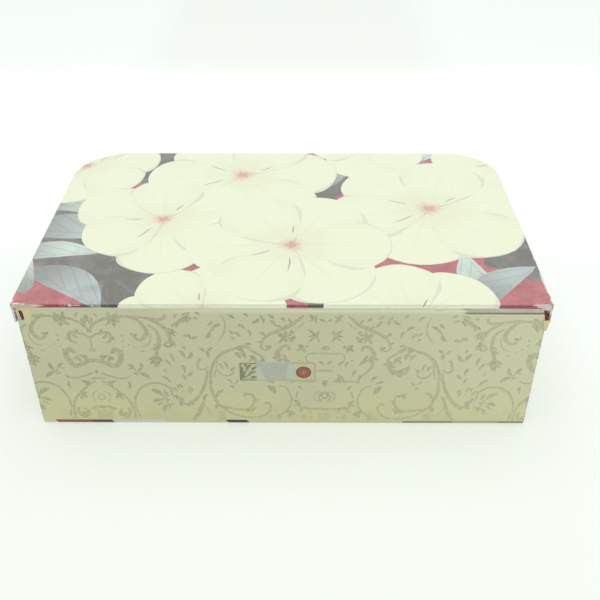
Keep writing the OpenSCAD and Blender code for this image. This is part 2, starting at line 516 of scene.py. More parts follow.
# The traditional scroll print. It is mirrored at both ends of a stretch of PRINT_HALF, so one half
# is drawn: brush strokes as (widths, points) and leaves as (base x, base z, tip x, tip z, width).
SCROLL_STROKES = [
    ((1.4, 1.7, 1.5), [(0, 61.3), (2, 64.8), (5, 67.5), (10, 69.5), (15, 70.2), (20, 70.5)]),
    ((1.5, 2.4, 1.3), [(20, 70.5), (23.4, 69), (26.5, 65), (27.6, 61.5), (26.5, 58.5), (24.3, 56.6),
                       (22, 57.5), (21, 60.3)]),
    ((0.5, 0.8, 0.5), [(29.5, 60), (28.6, 55.5), (26.5, 53), (23.8, 52)]),
    ((1.2, 1.9, 1.3), [(20, 70.8), (27, 70), (33, 68.9), (36.5, 69.6), (37.4, 72)]),
    ((0.9, 1.5, 2.2), [(0, 57), (2.5, 59.3), (6, 60.5), (9.3, 60.6)]),
    ((2.2, 1.7, 1.0), [(9, 60.8), (10.2, 58.6), (9.8, 56.2), (8.6, 54.8), (6.8, 54)]),
    ((0.9, 0.8, 0.8), [(0, 59), (0, 54), (0, 49)]),
    ((1.4, 2.0, 1.4), [(-1.6, 49.7), (0, 49.5), (1.6, 49.7)]),
    ((2.4, 2.8, 2.6), [(-0.3, 43.2), (3, 42.6), (6, 40.9), (10, 39.4), (12, 42)]),
    ((2.8, 3.0, 2.2), [(11.6, 41), (13.3, 45), (13, 48.6), (11, 50.3), (9.6, 48.6)]),
    ((1.0, 1.2, 0.9), [(2, 35), (6, 33), (10.5, 31.5), (14, 31.7), (16, 33)]),
    ((1.3, 1.5, 1.0), [(-0.2, 31.2), (1.6, 31.4), (3.4, 31)]),
    ((0.9, 1.5, 1.3), [(1.5, 30), (5, 27), (8.5, 23.5), (12, 19.5), (14.5, 15), (15.4, 10), (15.6, 4)]),
    ((1.8, 2.1, 1.4), [(-0.2, 11.6), (3, 11.8), (5.4, 9.8)]),
    ((1.4, 2.0, 1.2), [(8.6, 9.6), (9, 6.4), (10.6, 5), (12.6, 6.2), (13.4, 9), (12.6, 11.4)]),
    ((0.6, 0.8, 0.6), [(0, 20.4), (1.6, 19.2), (1.4, 17.4), (0, 16.8)]),
    ((0.5, 0.7, 0.5), [(1.6, 22.8), (3.8, 21.4), (4.4, 18.6), (3.4, 15.4)]),
    ((0.9, 1.1, 0.8), [(16.9, 10.6), (17.4, 8), (18.3, 5)]),
    ((1.0, 1.5, 1.2), [(16.5, 11), (16.8, 17), (18.5, 21.5), (20.5, 25), (24, 27.5), (28, 28.6),
                       (31.5, 28), (34.5, 26), (36, 23.5), (36.2, 20)]),
    ((0.6, 0.9, 0.6), [(31.4, 21), (33.2, 16.5), (34.2, 11)]),
    ((0.8, 0.9, 0.8), [(18.8, 38.4), (19.6, 36.4), (20.6, 34.8)]),
    ((0.9, 2.0, 1.9), [(28.6, 65.5), (31.4, 63.6), (33, 60), (33, 54), (31.5, 50), (30.5, 46)]),
    ((1.1, 2.0, 2.0), [(26, 70.3), (30, 69), (34, 66.3), (37, 63), (38.3, 59), (38.8, 54)]),
    ((0.6, 0.9, 0.5), [(64, 72), (65.4, 68), (65.2, 63), (63.5, 59), (61.5, 56.5)]),
    ((1.6, 1.3, 1.0), [(52.3, 45.5), (51, 42.5), (50.5, 39.6), (52, 38), (54.4, 38.4), (55, 40)]),
    ((1.0, 2.6, 1.6), [(53, 21), (51.2, 14), (48.8, 8.4), (45.6, 2.6)]),
    ((1.4, 1.8, 2.6), [(55.4, 37.5), (54.2, 31.4), (52.6, 26), (50.2, 21), (47.4, 17), (43.6, 14)]),
    ((2.2, 1.8, 1.0), [(44, 14.2), (41.4, 14.8), (40, 16.8), (39.6, 19.6)]),
    ((0.5, 0.7, 0.5), [(52.5, 13.6), (53.8, 10.4), (55, 7.3)]),
    ((1.5, 1.9, 1.6), [(57.2, 39.5), (56.4, 32), (56.2, 27), (56.6, 23), (57.7, 19.5), (59.1, 15.5),
                       (61.4, 12.8), (65.4, 12.1)]),
    ((1.6, 1.3, 1.8), [(65, 12.1), (70, 11), (74.5, 11.2), (77, 14.3), (78, 17.8), (77.2, 20.8),
                       (74.6, 21.8), (72.4, 20.2)]),
    ((1.6, 1.9, 1.5), [(57, 37.5), (58.4, 41.7), (60, 45), (62.5, 48), (65.8, 50.2), (68.8, 51.3),
                       (72.5, 53.1)]),
    ((2.4, 2.0, 0.7), [(71.5, 53), (75, 52.8), (79, 49.5), (83.2, 46.4)]),
    ((1.0, 1.2, 0.9), [(81.2, 42.4), (80.1, 39.5), (76.8, 38), (74.4, 36.4)]),
    ((0.5, 0.8, 0.5), [(60.4, 44), (59.6, 38), (58.3, 33)]),
    ((0.8, 1.1, 0.8), [(60.5, 38), (62, 35), (64.7, 34), (67.3, 35.2), (68.2, 38.8)]),
    ((1.2, 1.1, 1.3), [(62, 12), (66.2, 8.4), (70, 6.6), (75, 5.5), (80.9, 6), (83.8, 8), (86, 11.4),
                       (86, 14.3), (84.6, 16.2), (82.9, 15.1)]),
    ((1.0, 2.6, 1.9), [(103.1, 72.4), (101.2, 70.6), (97.9, 67.2), (93.8, 65), (90.5, 63), (86.4, 61)]),
    ((1.9, 1.6, 1.2), [(86.8, 61.2), (84.2, 58.6), (82.7, 55.8), (82.2, 52.4)]),
    ((0.9, 1.2, 1.6), [(82.2, 53), (83.8, 51.2), (86.2, 51.8), (86.6, 54)]),
    ((0.6, 0.8, 0.6), [(103.1, 68.4), (101.4, 66.2), (99.2, 64.8)]),
    ((1.5, 2.0, 2.4), [(95.8, 51), (95.6, 53.4), (93.4, 53.8), (91.2, 51.6), (89.7, 48.2)]),
    ((1.4, 2.9, 1.3), [(82.6, 47.4), (83, 43.6), (81.6, 40), (78.6, 37.4), (75.4, 37), (73, 38.8),
                       (72.4, 41.6)]),
    ((0.6, 0.8, 0.6), [(104.7, 48.6), (104.2, 45.8), (105.6, 43.6), (107.8, 42.6)]),
    ((0.9, 1.2, 0.9), [(112.5, 24), (110.9, 22), (111, 19.2), (112.6, 17.2)]),
    ((3.0, 2.6, 1.4), [(89.8, 49), (91.2, 45.6), (90.4, 42.8), (90.8, 40.4)]),
    ((1.4, 1.1, 0.8), [(90.6, 41), (92.7, 37.6), (94.9, 35.6), (97, 34.8)]),
    ((0.8, 1.2, 1.0), [(90.4, 28.2), (93.5, 27.2), (95.4, 24.4), (96.6, 20.3), (96.8, 17.3),
                       (95.7, 12.9), (93.1, 9.5), (90.6, 7), (91, 4.6)]),
    ((1.6, 1.3, 1.5), [(101, 12.6), (103.4, 13), (106, 12.3), (110, 12), (114, 11.8)]),
    ((0.9, 1.1, 0.8), [(100.8, 9.6), (103, 12.3), (105.5, 12), (106.9, 9.4)]),
    ((0.8, 1.0, 0.8), [(99.2, 19.5), (99.6, 22), (100.5, 24.3)]),
    ((0.8, 0.9, 0.8), [(96, 30.4), (100, 31.2), (106, 30.6), (110, 31.2)]),
    ((1.3, 1.5, 1.3), [(109.6, 38.4), (111.6, 38.2), (114, 38.4)]),
    ((0.7, 0.9, 0.8), [(103.8, 47), (105.5, 49), (109, 49.4), (114, 49.3)]),
    ((0.8, 0.9, 0.6), [(110.9, 24.4), (108.9, 22.6), (108.7, 19), (111, 17.2)]),
]
SCROLL_LEAVES = [
    (9.6, 69.4, 14.4, 65.8, 2.2), (9.6, 66.4, 14.2, 69.8, 2.0), (11.8, 70.4, 11.9, 65.4, 1.8),
    (13.6, 71.6, 15.4, 67.4, 1.2), (-1.2, 62.4, 1.4, 60.4, 1.6), (5.2, 60.4, 6.8, 63, 1.4),
    (8.4, 59.6, 5.6, 57, 1.6), (9.8, 57.4, 12.2, 56.2, 1.5), (15.5, 59.6, 15.5, 58.2, 1.0),
    (15.5, 56.4, 15.7, 55.2, 1.0), (17.6, 53.6, 18.4, 52.8, 0.9), (15.2, 52.6, 15.4, 51.4, 0.9),
    (20, 52, 21, 51.4, 0.9), (23.4, 48.8, 25.6, 49.4, 0.8), (23.2, 60.2, 19.6, 59.4, 1.8),
    (21.8, 58.4, 19.8, 61.2, 1.4), (3.2, 43, 7.4, 46.8, 2.2), (4.8, 47, 2.6, 45, 1.5),
    (6.6, 42, 8.8, 45.4, 1.8), (10, 43.4, 7.6, 46.6, 1.8), (12.4, 44, 15, 47.4, 1.8),
    (11, 49.6, 8, 47.6, 1.8), (13.4, 47, 15, 50.6, 1.5), (0, 37.2, 0, 34.2, 1.3),
    (15, 29.8, 14.8, 24, 1.7), (4.2, 26.8, 9.4, 29.8, 2.3), (7, 26.4, 4.6, 30, 1.6),
    (7.2, 22, 10.8, 16.6, 2.4), (7, 17.8, 11, 20.6, 1.7), (5.1, 10.7, 6.9, 10.4, 1.0),
    (8.6, 10.4, 10.5, 10.2, 1.0), (9, 5, 8, 10, 1.7), (11.4, 5, 11, 9, 1.6),
    (25.6, 24.6, 31.8, 19.4, 2.7), (25.6, 15.6, 31.6, 17.4, 2.4), (32, 23.6, 33.7, 18.8, 1.8),
    (30.8, 8.8, 33.2, 14, 2.5), (33.6, 11.8, 36.8, 14.8, 1.6), (30.6, 18.4, 34.6, 16.8, 1.6),
    (27.8, 12.8, 31.4, 15.8, 1.4), (16, 41.2, 18.9, 37.4, 2.0), (22.9, 41.9, 20.4, 35.8, 2.2),
    (20.8, 35.6, 26.2, 31.2, 2.4), (17.8, 35.2, 20.4, 33.4, 1.2), (18.2, 38.6, 15.6, 37.6, 1.1),
    (30.9, 47.5, 29.2, 38.6, 3.4), (29.6, 46.6, 26, 43.4, 1.7), (31.6, 46, 33.6, 42.4, 1.3),
    (37.3, 55, 41, 53, 1.7), (34.8, 54.2, 37, 51.3, 1.7), (33.4, 56, 30, 53, 1.3),
    (36.4, 62, 39.6, 60, 1.3), (37.4, 48.6, 38.9, 42.4, 1.7), (34.6, 44.2, 37.5, 39.4, 1.5),
    (33.5, 37.8, 34.9, 35.2, 1.2), (31.6, 33.4, 36.6, 28.8, 1.8), (38.8, 28.2, 39.9, 24.2, 1.2),
    (12, 69, 10.6, 73.8, 1.9), (12, 69, 15.8, 72.4, 2.0), (12, 69, 16, 66.6, 1.9),
    (12, 69, 12.6, 63.8, 2.2), (12, 69, 8, 65, 2.0), (-0.8, 71.6, 0.8, 66, 1.9),
    (2.4, 70, 0.8, 65, 1.5), (3.4, 72.8, 5.2, 69.4, 1.1), (31.2, 47, 26.8, 41, 2.4),
    (33.6, 53.6, 28.4, 50.2, 2.1), (37, 63.6, 42.4, 60.4, 2.0), (38, 62, 41.4, 58.4, 1.6),
    (39.8, 57.6, 35.2, 54.4, 1.9), (39.8, 55.8, 36.8, 51.6, 1.8), (38.6, 56.6, 40.6, 52.2, 1.7),
    (40, 64.6, 42.6, 67.6, 1.5), (42, 64, 44.6, 69.4, 1.9), (44, 66, 46, 70.8, 1.7),
    (45.2, 67.2, 49.2, 72.2, 2.3), (47, 67, 50.2, 70.8, 1.9), (45, 71.4, 50, 73.2, 1.4),
    (41.4, 70.2, 43.8, 72.8, 1.4), (40, 28.2, 42.2, 24.8, 1.5), (44.4, 26.6, 47, 23.2, 1.7),
    (35.6, 25.8, 39.4, 22.4, 1.6), (38.6, 21.4, 36.2, 18.8, 1.4), (40.8, 19.4, 39.4, 13.8, 2.4),
    (95, 59.4, 91.6, 62, 1.9), (95, 59.4, 98.8, 62.6, 1.9), (95, 59.2, 97.8, 56.2, 1.8),
    (95, 59.4, 94.6, 63.8, 1.6), (95, 59.2, 91.4, 57.6, 1.7), (95.4, 6, 98, 9.8, 2.0),
    (113.7, 31.8, 113.7, 27.2, 1.9), (80.4, 41.6, 83.6, 45, 2.2), (78.2, 38, 75, 34.6, 2.3),
    (76, 43.2, 79.2, 45.6, 1.6), (82.4, 43.8, 85, 41.6, 1.6), (70.2, 52.4, 73.8, 50, 2.6),
    (50.2, 70.2, 53.2, 69.2, 1.4),
    (51.3, 73.6, 54.2, 71.8, 1.4), (44.8, 58.4, 48.4, 59.6, 2.0), (51.8, 59, 48.4, 57.8, 2.0),
    (47.4, 60.6, 48, 56.8, 1.4),
    (42, 50.2, 44.8, 45.2, 2.2), (48.5, 49.2, 45.4, 44.6, 2.2), (44, 52.9, 45.4, 50, 1.2),
    (42.4, 41.2, 44, 35.2, 1.7), (47.8, 36.7, 44.5, 33.4, 2.0), (42.4, 34.6, 43.9, 30.4, 1.3),
    (41.2, 23.6, 42.7, 22.4, 1.0), (44, 25, 45.8, 21, 1.4), (59.6, 68.9, 56.8, 65.5, 1.8),
    (60, 64.6, 63.6, 66.8, 1.9), (60.1, 65.2, 57.8, 62.2, 1.6), (58.2, 62.2, 55.2, 57.5, 2.2),
    (66.8, 72.6, 70.2, 69.6, 1.6), (71.2, 66.6, 75.2, 63.8, 2.0), (67, 63, 69.2, 60, 1.4),
    (69.4, 62.2, 72.6, 59, 1.9), (67.4, 59.2, 69.6, 56.8, 1.3), (76.2, 63.8, 77.4, 59.2, 1.6),
    (74.6, 73.4, 76.6, 71, 1.3), (52.2, 51.6, 54.8, 49.4, 1.8), (55.6, 50, 56.2, 45.8, 2.0),
    (56.2, 49.8, 58.8, 52.4, 2.0), (43.4, 12, 45.4, 15.2, 1.3), (46, 13.8, 47.9, 17.6, 1.3),
    (52.2, 17.8, 54.4, 22, 1.9), (39, 20.4, 37.6, 17.2, 1.3), (41.6, 14.6, 38.6, 13.4, 1.3),
    (76.2, 9, 78.8, 13, 1.9), (73.6, 9, 76.4, 11.6, 1.4), (77, 16, 80.2, 18.2, 1.6),
    (75, 22.4, 71.6, 23.4, 1.4), (58, 19.3, 62.8, 24.6, 2.3), (57.6, 11, 60, 15.2, 2.0),
    (69.4, 49.6, 72, 45.2, 2.4), (72.6, 50.2, 74.4, 45.4, 2.3), (76.2, 48, 79.9, 42.6, 2.4),
    (74.4, 54.6, 78, 54.2, 1.6), (79.6, 35.6, 81.4, 37.8, 1.4), (74.2, 40.4, 77.8, 35, 2.3),
    (71.8, 42.6, 73.6, 35.6, 1.9), (78.4, 41.4, 81.8, 40.2, 1.4), (60.8, 42.6, 63, 38, 1.7),
    (63.4, 43.7, 65.4, 38.2, 1.5), (66.6, 37, 69.6, 40.2, 1.4), (64.6, 31.9, 67.2, 29.2, 1.1),
    (70.2, 31.4, 67.6, 28.4, 1.1), (66, 27.6, 68.2, 25, 1.0), (81.9, 70.4, 78, 67.4, 1.9),
    (82, 72.6, 84.2, 67, 1.8), (86, 73, 88.8, 70, 1.9), (86.6, 69.6, 89.9, 65.2, 2.0),
    (91.8, 71.2, 94.2, 68.8, 1.8), (90, 66.6, 92.6, 63.8, 1.8), (95.6, 70.4, 97.4, 66.8, 1.5),
    (81.8, 62.2, 84.8, 59.6, 1.8), (80.2, 56.4, 82.6, 55.6, 1.2), (84, 54, 87.2, 51, 1.7),
    (96.2, 63.6, 98.2, 61.2, 1.5), (90.4, 61.6, 95.2, 55.8, 2.6), (98.8, 60.8, 95.6, 55.8, 2.2),
    (93, 58.4, 90.6, 55.4, 1.4), (104.8, 64.6, 110.8, 55.6, 1.7), (110.6, 64, 104.8, 56, 1.6),
    (105, 59.4, 110.8, 60.6, 1.5), (111.6, 52.4, 115.8, 52.4, 2.8), (100.2, 55.2, 103.6, 49.6, 2.5),
    (104.2, 54.6, 104.6, 52.2, 1.2), (99.8, 50.4, 102.2, 52.2, 1.5), (105.4, 73.2, 109.4, 67.8, 2.2),
    (109.6, 72.4, 106, 69.4, 1.6), (110.4, 70.2, 113.6, 68.4, 1.4), (87.6, 46.4, 89.6, 45.2, 1.5),
    (92.6, 48.2, 94.6, 44.8, 1.7), (92.4, 45.6, 97.2, 41.6, 2.2), (95.2, 35.4, 97, 30.8, 1.6),
    (98, 39, 99.9, 34.4, 1.7), (87.3, 35.2, 90.7, 30.8, 1.6), (84, 31, 88.5, 29.4, 1.6),
    (84.8, 28.2, 88.8, 21.8, 3.0), (88.6, 27.6, 86, 24.2, 1.6), (98, 18.6, 101.6, 12.4, 2.3),
    (101.2, 17.4, 98, 13.8, 1.6), (94, 10.4, 98.8, 7.2, 2.8), (100.2, 28.2, 102, 24.8, 1.4),
    (104, 30, 107.6, 35.9, 1.8), (109.4, 30.2, 106.2, 35.6, 1.6), (106.6, 29.8, 106.8, 35.2, 1.4),
    (110.3, 44.4, 113, 41.6, 1.6), (102.2, 44.4, 103.9, 40, 1.3), (104.4, 44.6, 107.2, 40.8, 1.5),
    (100.1, 45.2, 101, 44.3, 0.9), (99.7, 42.5, 100.4, 41.5, 0.9), (111.8, 31.2, 115.6, 31.2, 1.0),
    (112.1, 29, 115.2, 29, 1.0), (112.2, 20, 112.8, 23.4, 1.5), (112.4, 23, 115, 23.8, 1.3),
    (112.2, 19.6, 115, 19.2, 1.3),
]
FAINT_BLOCKS = [
    ((-4, 3.4), (4, 9.6)), ((59, 3.2), (62.5, 9.6)), ((88.4, 3), (90.6, 8.4)), ((86, 4), (87.2, 7.6)),
    ((102.4, 4.6), (104.6, 7.8)), ((106.2, 4.6), (107.2, 7.2)), ((111, 3.4), (116.4, 9.2)),
]


def scroll_half():
    """The printed motifs of one half of the scroll repeat."""
    motifs = [
        Motif([(x0, z0), (x1, z0), (x1, z1), (x0, z1)], ink=BLOCK_INK)
        for (x0, z0), (x1, z1) in FAINT_BLOCKS
    ]
    motifs += [Motif(stroke_outline(line, widths), ink=STROKE_INK) for widths, line in SCROLL_STROKES]
    motifs += [
        Motif(leaf_outline((x0, z0), (x1, z1), width), ink=LEAF_INK)
        for x0, z0, x1, z1, width in SCROLL_LEAVES
    ]
    return motifs


def wrap_sheet():
    """The scroll paper round the four walls, turned in over the top except along the hinge."""
    overlap = 6
    seam_y = REAR_Y + overlap
    loop = [
        (TRAY_HALF, seam_y), (TRAY_HALF, TRAY_FRONT), (-TRAY_HALF, TRAY_FRONT),
        (-TRAY_HALF, REAR_Y), (TRAY_HALF, REAR_Y), (TRAY_HALF, seam_y + overlap),
    ]
    round_path = Path(loop, [TRAY_CORNER, TRAY_CORNER, SQUARE_CORNER, SQUARE_CORNER])
    edge = 0.4
    lap_cut, top_cut = 4, 1.6
    section = Path(
        [(0, TURN_UP), (0, TRAY_TOP), (-WALL_LAYERS, TRAY_TOP), (-WALL_LAYERS, LAP_Z)], [edge, edge]
    )
    end = round_path.length
    rear = next(p for p in round_path.parts if p[4].y < -0.99 and p[5] is None)
    axis_at = rear[0] + PRINT_AXIS_X - rear[2].x
    hinge_left = rear[0] - HINGE_HALF - rear[2].x
    hinge_right = rear[0] + HINGE_HALF - rear[2].x
    left_corner = rear[0] - SQUARE_CORNER * math.pi / 2
    right_corner = rear[0] + rear[1] + SQUARE_CORNER * math.pi / 2
    over_edge, at_lap = section.parts[1][0] + section.parts[1][1], section.parts[4][0]
    rear_top = WRAP_TOP_REAR - TURN_UP
    lap = section.length
    sheet = Sheet("scroll_wrap", [[
        (0, 0), (end, 0), (end, lap), (right_corner + lap_cut, lap), (right_corner + top_cut, at_lap),
        (right_corner, over_edge), (hinge_right, over_edge), (hinge_right, rear_top),
        (hinge_left, rear_top), (hinge_left, over_edge), (left_corner, over_edge),
        (left_corner - top_cut, at_lap), (left_corner - lap_cut, lap), (0, lap),
    ]])
    repeats = itertools.product(range(-3, 3), (1, -1), (0, PRINT_LIFT), scroll_half())
    for turn, flip, lift, motif in repeats:
        shift = turn * 2 * PRINT_HALF
        middle = PRINT_AXIS_X + shift + flip * sum(x for x, _ in motif.points) / len(motif.points)
        middle = between(middle, -TRAY_HALF, TRAY_HALF)
        drop = TURN_UP + PRINT_DROP + PRINT_SLANT * (middle - PRINT_LEVEL_X)
        spots = [(axis_at + shift + flip * x, z - drop + lift) for x, z in motif.points]
        low = min(z for _, z in spots)
        left, right = min(x for x, _ in spots), max(x for x, _ in spots)
        if low > lap or right < 0 or left > end or (lift and low < rear_top - 1):
            continue
        sheet.print.append(Motif(spots, **motif.values))
    overlap_from = end - overlap - 1
    for at in round_path.bends(5):
        sheet.creases.append(((at, -1), (at, lap + 1)))
    for at in section.bends(22):
        sheet.creases.append(((-1, at), (end + 1, at)))
    for at in (overlap_from, overlap_from + 1):
        sheet.creases.append(((at, -1), (at, lap + 1)))

    def place(flat):
        (out, z), turn = section.at(flat.y)
        spot, normal = round_path.at(flat.x)
        lift = PAPER * between(flat.x - overlap_from, 0, 1)
        upward = Vector((normal.x * turn.x, normal.y * turn.x, turn.y))
        point = Vector((spot.x + normal.x * out, spot.y + normal.y * out, z))
        return point + upward * lift, upward

    return sheet, place


RAY_STEP = 5
CORNER_RAYS = 90 // RAY_STEP + 1


class Plan:
    """The plan outline of the lid or of the bottom, and the foot of any flat point on it."""

    def __init__(self, half, rear, front, front_radius, rear_radius):
        self.half = half
        self.rear = rear
        self.front = front
        self.radii = (front_radius, rear_radius)

    def corners(self):
        """Centre, radius and first angle of each rounded corner, counter-clockwise."""
        front, rear = self.radii
        return [
            (Vector((self.half - rear, self.rear + rear)), rear, -90),
            (Vector((self.half - front, self.front - front)), front, 0),
            (Vector((front - self.half, self.front - front)), front, 90),
            (Vector((rear - self.half, self.rear + rear)), rear, 180),
        ]

    def foot(self, flat):
        """Nearest point of the outline, its outward normal, and how far outside the flat point is."""
        for (centre, radius, _angle), side, way in zip(self.corners(), (1, 1, -1, -1), (-1, 1, 1, -1)):
            away = flat - centre
            if away.x * side >= 0 and away.y * way >= 0 and radius > 0 and away.length > TINY:
                normal = away.normalized()
                return centre + normal * radius, normal, away.length - radius
        side = abs(flat.x) - self.half
        ahead, behind = flat.y - self.front, self.rear - flat.y
        if side >= max(ahead, behind):
            way = math.copysign(1, flat.x)
            return Vector((way * self.half, flat.y)), Vector((way, 0)), side
        if ahead > behind:
            return Vector((flat.x, self.front)), Vector((0, 1)), ahead
        return Vector((flat.x, self.rear)), Vector((0, -1)), behind

    def rays(self):
        """Centre, radius and outward direction, every RAY_STEP degrees round the corners."""
        for centre, radius, start in self.corners():
            for angle in range(start, start + 91, RAY_STEP):
                yield centre, radius, spoke(angle)

    def loop(self, outside):
        """The outline moved outwards."""
        return [centre + out * max(radius + outside, 0) for centre, radius, out in self.rays()]

    def spokes(self, inner, outer):
        """Creases across the edge at the rounded corners."""
        return [
            (centre + out * max(radius + inner, 0), centre + out * (radius + outer))
            for centre, radius, out in self.rays() if radius > 0
        ]


INSIDE = 20.0
FLORAL_RED = (0.50, 0.158, 0.172)
FLORAL_DEEP_RED = (0.37, 0.10, 0.11)
FLORAL_GREY = (0.16, 0.157, 0.136)
FLORAL_MINT = (0.50, 0.59, 0.56)
FLORAL_PALE_LEAF = (0.66, 0.80, 0.71)
FLORAL_CREAM = (0.87, 0.935, 0.69)
FLORAL_SHADE = (0.76, 0.81, 0.62)
FLORAL_STAMEN = (0.74, 0.42, 0.34)
FLORAL_LINE = (0.42, 0.44, 0.34)
FLORAL_BLACK = (0.04, 0.04, 0.04)
FLORAL_HEART = (0.66, 0.36, 0.30)
FLORAL_THROAT = (0.76, 0.74, 0.50)
FLORAL_ROSE = (0.66, 0.23, 0.26)
FLORAL_BROWN = (0.38, 0.22, 0.20)
FLORAL_RIB = (0.60, 0.64, 0.46)
FLORAL_VEIN = (0.22, 0.26, 0.22)
FLORAL_GREY_SOFT = (0.33, 0.34, 0.33)
BAND_CREAM = (0.70, 0.70, 0.50)
BAND_RED = (0.34, 0.09, 0.07)
BAND_DARK = (0.09, 0.05, 0.05)
BAND_MINT = (0.66, 0.74, 0.62)
BAND_OLIVE = (0.66, 0.66, 0.38)
EDGE_SHADOW_GREY = (0.30, 0.31, 0.22)
EDGE_SHADOW_PALE_GREY = (0.46, 0.46, 0.32)
WHITE_PULP = (0.80, 0.77, 0.72)
PULP_SHADE = (0.50, 0.47, 0.42)


def along_lay(base, tip, width, kind):
    """Gives a flat point its place along and across a petal or leaf, and the kind of motif."""
    base, tip = Vector(base), Vector(tip)
    run = tip - base
    across = Vector((-run.y, run.x)).normalized()

    def lay(flat):
        off = flat - base
        return off.dot(run) / run.length_squared, off.dot(across) / (width / 2), kind

    return lay


def even_lay(along, across, kind):
    """The same for a motif that has no length or breadth of its own."""
    return lambda _flat: (along, across, kind)


SCUFF_LAY = even_lay(0.0, 0.0, SCUFF)
PLAIN_LAY = even_lay(1.0, 0.9, PLAIN)
HOLLOW_LAY = even_lay(1.0, 0.9, HOLLOW)


def petal(base, tip, width, tint):
    """A broad petal with a lightly waved edge."""
    base, tip = Vector(base), Vector(tip)
    run = tip - base
    across = Vector((-run.y, run.x)).normalized()
    left, right = [], []
    count = 26
    for i in range(1, count):
        t = 1 - (1 - i / count) ** 1.3
        half = width / 2 * math.sin(math.pi * t**1.55) ** 0.54
        wave = 1 + 0.045 * math.sin(11 * t + 3 * width)
        left.append(base + run * t + across * half * wave)
        right.append(base + run * t - across * half / wave)
    outline = [base, *left, tip, *right[::-1]]
    return Motif(outline, along_lay(base, tip, width, PETAL), tint=tint)


SHADOW = Vector((0.6, -0.8))
STAMENS = 11


def blossom(x, y, radius, petals, turn):
    """An open flower of broad petals that overlap, with a tuft of stamens in its middle."""
    centre = Vector((x, y))
    motifs = []
    for ring, (share, wide) in enumerate(((1.0, 0.86), (0.92, 0.80))):
        for i in range(petals):
            if (i + ring) % 2:
                continue
            way = spoke(turn + i * 360 / petals)
            tip = centre + way * radius * (share + 0.05 * math.sin(3.0 * i + x))
            motifs.append(petal(centre + SHADOW, tip + SHADOW, radius * wide * 1.02, FLORAL_SHADE))
            motifs.append(petal(centre, tip, radius * wide, FLORAL_CREAM))
    for i in range(STAMENS):
        way = spoke(turn + i * 360 / STAMENS + 8 * math.sin(5 * i))
        reach = radius * (0.065 + 0.02 * math.sin(2.3 * i))
        stamen = leaf_outline(centre, centre + way * reach, 1.3, 0.1)
        motifs.append(Motif(stamen, PLAIN_LAY, tint=FLORAL_STAMEN))
    for i in (0, 2, 3):
        way = spoke(turn + 24 + i * 360 / petals)
        near, far = centre + way * radius * 0.2, centre + way * radius * (0.36 + 0.03 * i)
        motifs.append(Motif(leaf_outline(near, far, 0.8, 0.04), PLAIN_LAY, tint=FLORAL_LINE))
    return motifs


def foliage(base, tip, width, tint):
    """A pointed leaf with its veins."""
    outline = leaf_outline(base, tip, width, 0.12, 9)
    return Motif(outline, along_lay(base, tip, width, LEAF), tint=tint)


BLOSSOMS = [
    (-38, -86, 42, 6, 70), (62, -90, 46, 6, 40), (-122, 62, 46, 6, 20), (52, 92, 44, 6, 10),
    (132, 66, 44, 6, 50), (-26, 50, 58, 6, 5), (-66, -2, 51, 6, 35), (80, 10, 60, 6, 12),
    (4, -28, 56, 6, 62),
]
FOLIAGE = [
    ((-127, -50), (-84, -84), 20, FLORAL_MINT), ((-122, -72), (-132, -28), 17, FLORAL_PALE_LEAF),
    ((-128, 6), (-108, 40), 15, FLORAL_MINT), ((-70, 74), (-52, 38), 15, FLORAL_PALE_LEAF),
    ((-84, 44), (-46, 78), 16, FLORAL_GREY), ((22, 34), (44, 66), 15, FLORAL_MINT),
    ((104, -74), (92, -36), 16, FLORAL_PALE_LEAF), ((92, -82), (126, -48), 17, FLORAL_MINT),
    ((118, -30), (134, 18), 15, FLORAL_GREY), ((70, 66), (98, 80), 14, FLORAL_PALE_LEAF),
    ((-62, -86), (-86, -58), 13, FLORAL_GREY), ((24, -90), (36, -66), 12, FLORAL_GREY),
    ((28, 14), (18, 40), 12, FLORAL_GREY), ((-52, 24), (-58, 44), 11, FLORAL_MINT),
    ((-142, 18), (-84, 2), 24, FLORAL_PALE_LEAF), ((-142, -12), (-88, -20), 26, FLORAL_MINT),
    ((-140, -40), (-94, -36), 16, FLORAL_PALE_LEAF),
]
GREY_PATCHES = [
    [(-140, 24), (-90, 34), (-84, -10), (-80, -44), (-50, -64), (-52, -100), (-84, -100), (-106, -54),
     (-140, -40)],
    [(-100, 96), (-86, 40), (-50, 30), (-44, 60), (-60, 96)],
    [(20, 10), (34, 30), (40, 70), (24, 60), (14, 30)],
    [(100, -46), (124, -62), (146, -40), (146, 20), (116, -12)],
    [(16, -64), (30, -60), (40, -100), (8, -100)],
]

# Places on the flat lid paper where the printed layer is rubbed or torn away: x, y, reach x, reach y
LID_SCUFFS = [
    (-122.2, -80.0, 2.4, 0.5), (-99.4, -80.6, 1.2, 0.8), (-88.6, -80.5, 0.7, 0.5),
    (-115.0, -80.7, 4.2, 0.35), (-124.6, -79.6, 2.2, 0.6), (-126.6, -78.2, 0.7, 1.6),
    (-126.9, -76.0, 0.5, 1.6), (-127.8, -78.6, 1.2, 1.4), (-130.5, -80.2, 4.0, 1.6),
    (-141.0, -78.5, 5.0, 3.0),
    (-135.0, -79.9, 4.2, 1.8), (124.4, -80.9, 2.4, 1.5), (121.4, -80.9, 2.2, 0.8),
    (126.9, -77.4, 0.9, 3.2), (130.6, -80.2, 2.8, 1.6), (127.2, -68.0, 1.0, 10.0),
    (126.4, -60.0, 0.4, 9.0), (127.3, -50.0, 0.6, 7.0), (-134.0, -80.3, 4.0, 2.0),
    (-96.0, -80.6, 2.4, 0.2), (-106.0, 71.5, 1.2, 0.7),
    (119.4, 68.2, 1.6, 0.8), (127.2, 12.0, 0.5, 1.6), (-127.3, 30.0, 0.5, 1.2),
    (40.0, 79.9, 1.4, 0.5), (-63.0, 80.0, 0.8, 0.4), (126.9, -40.0, 0.5, 2.2),
]
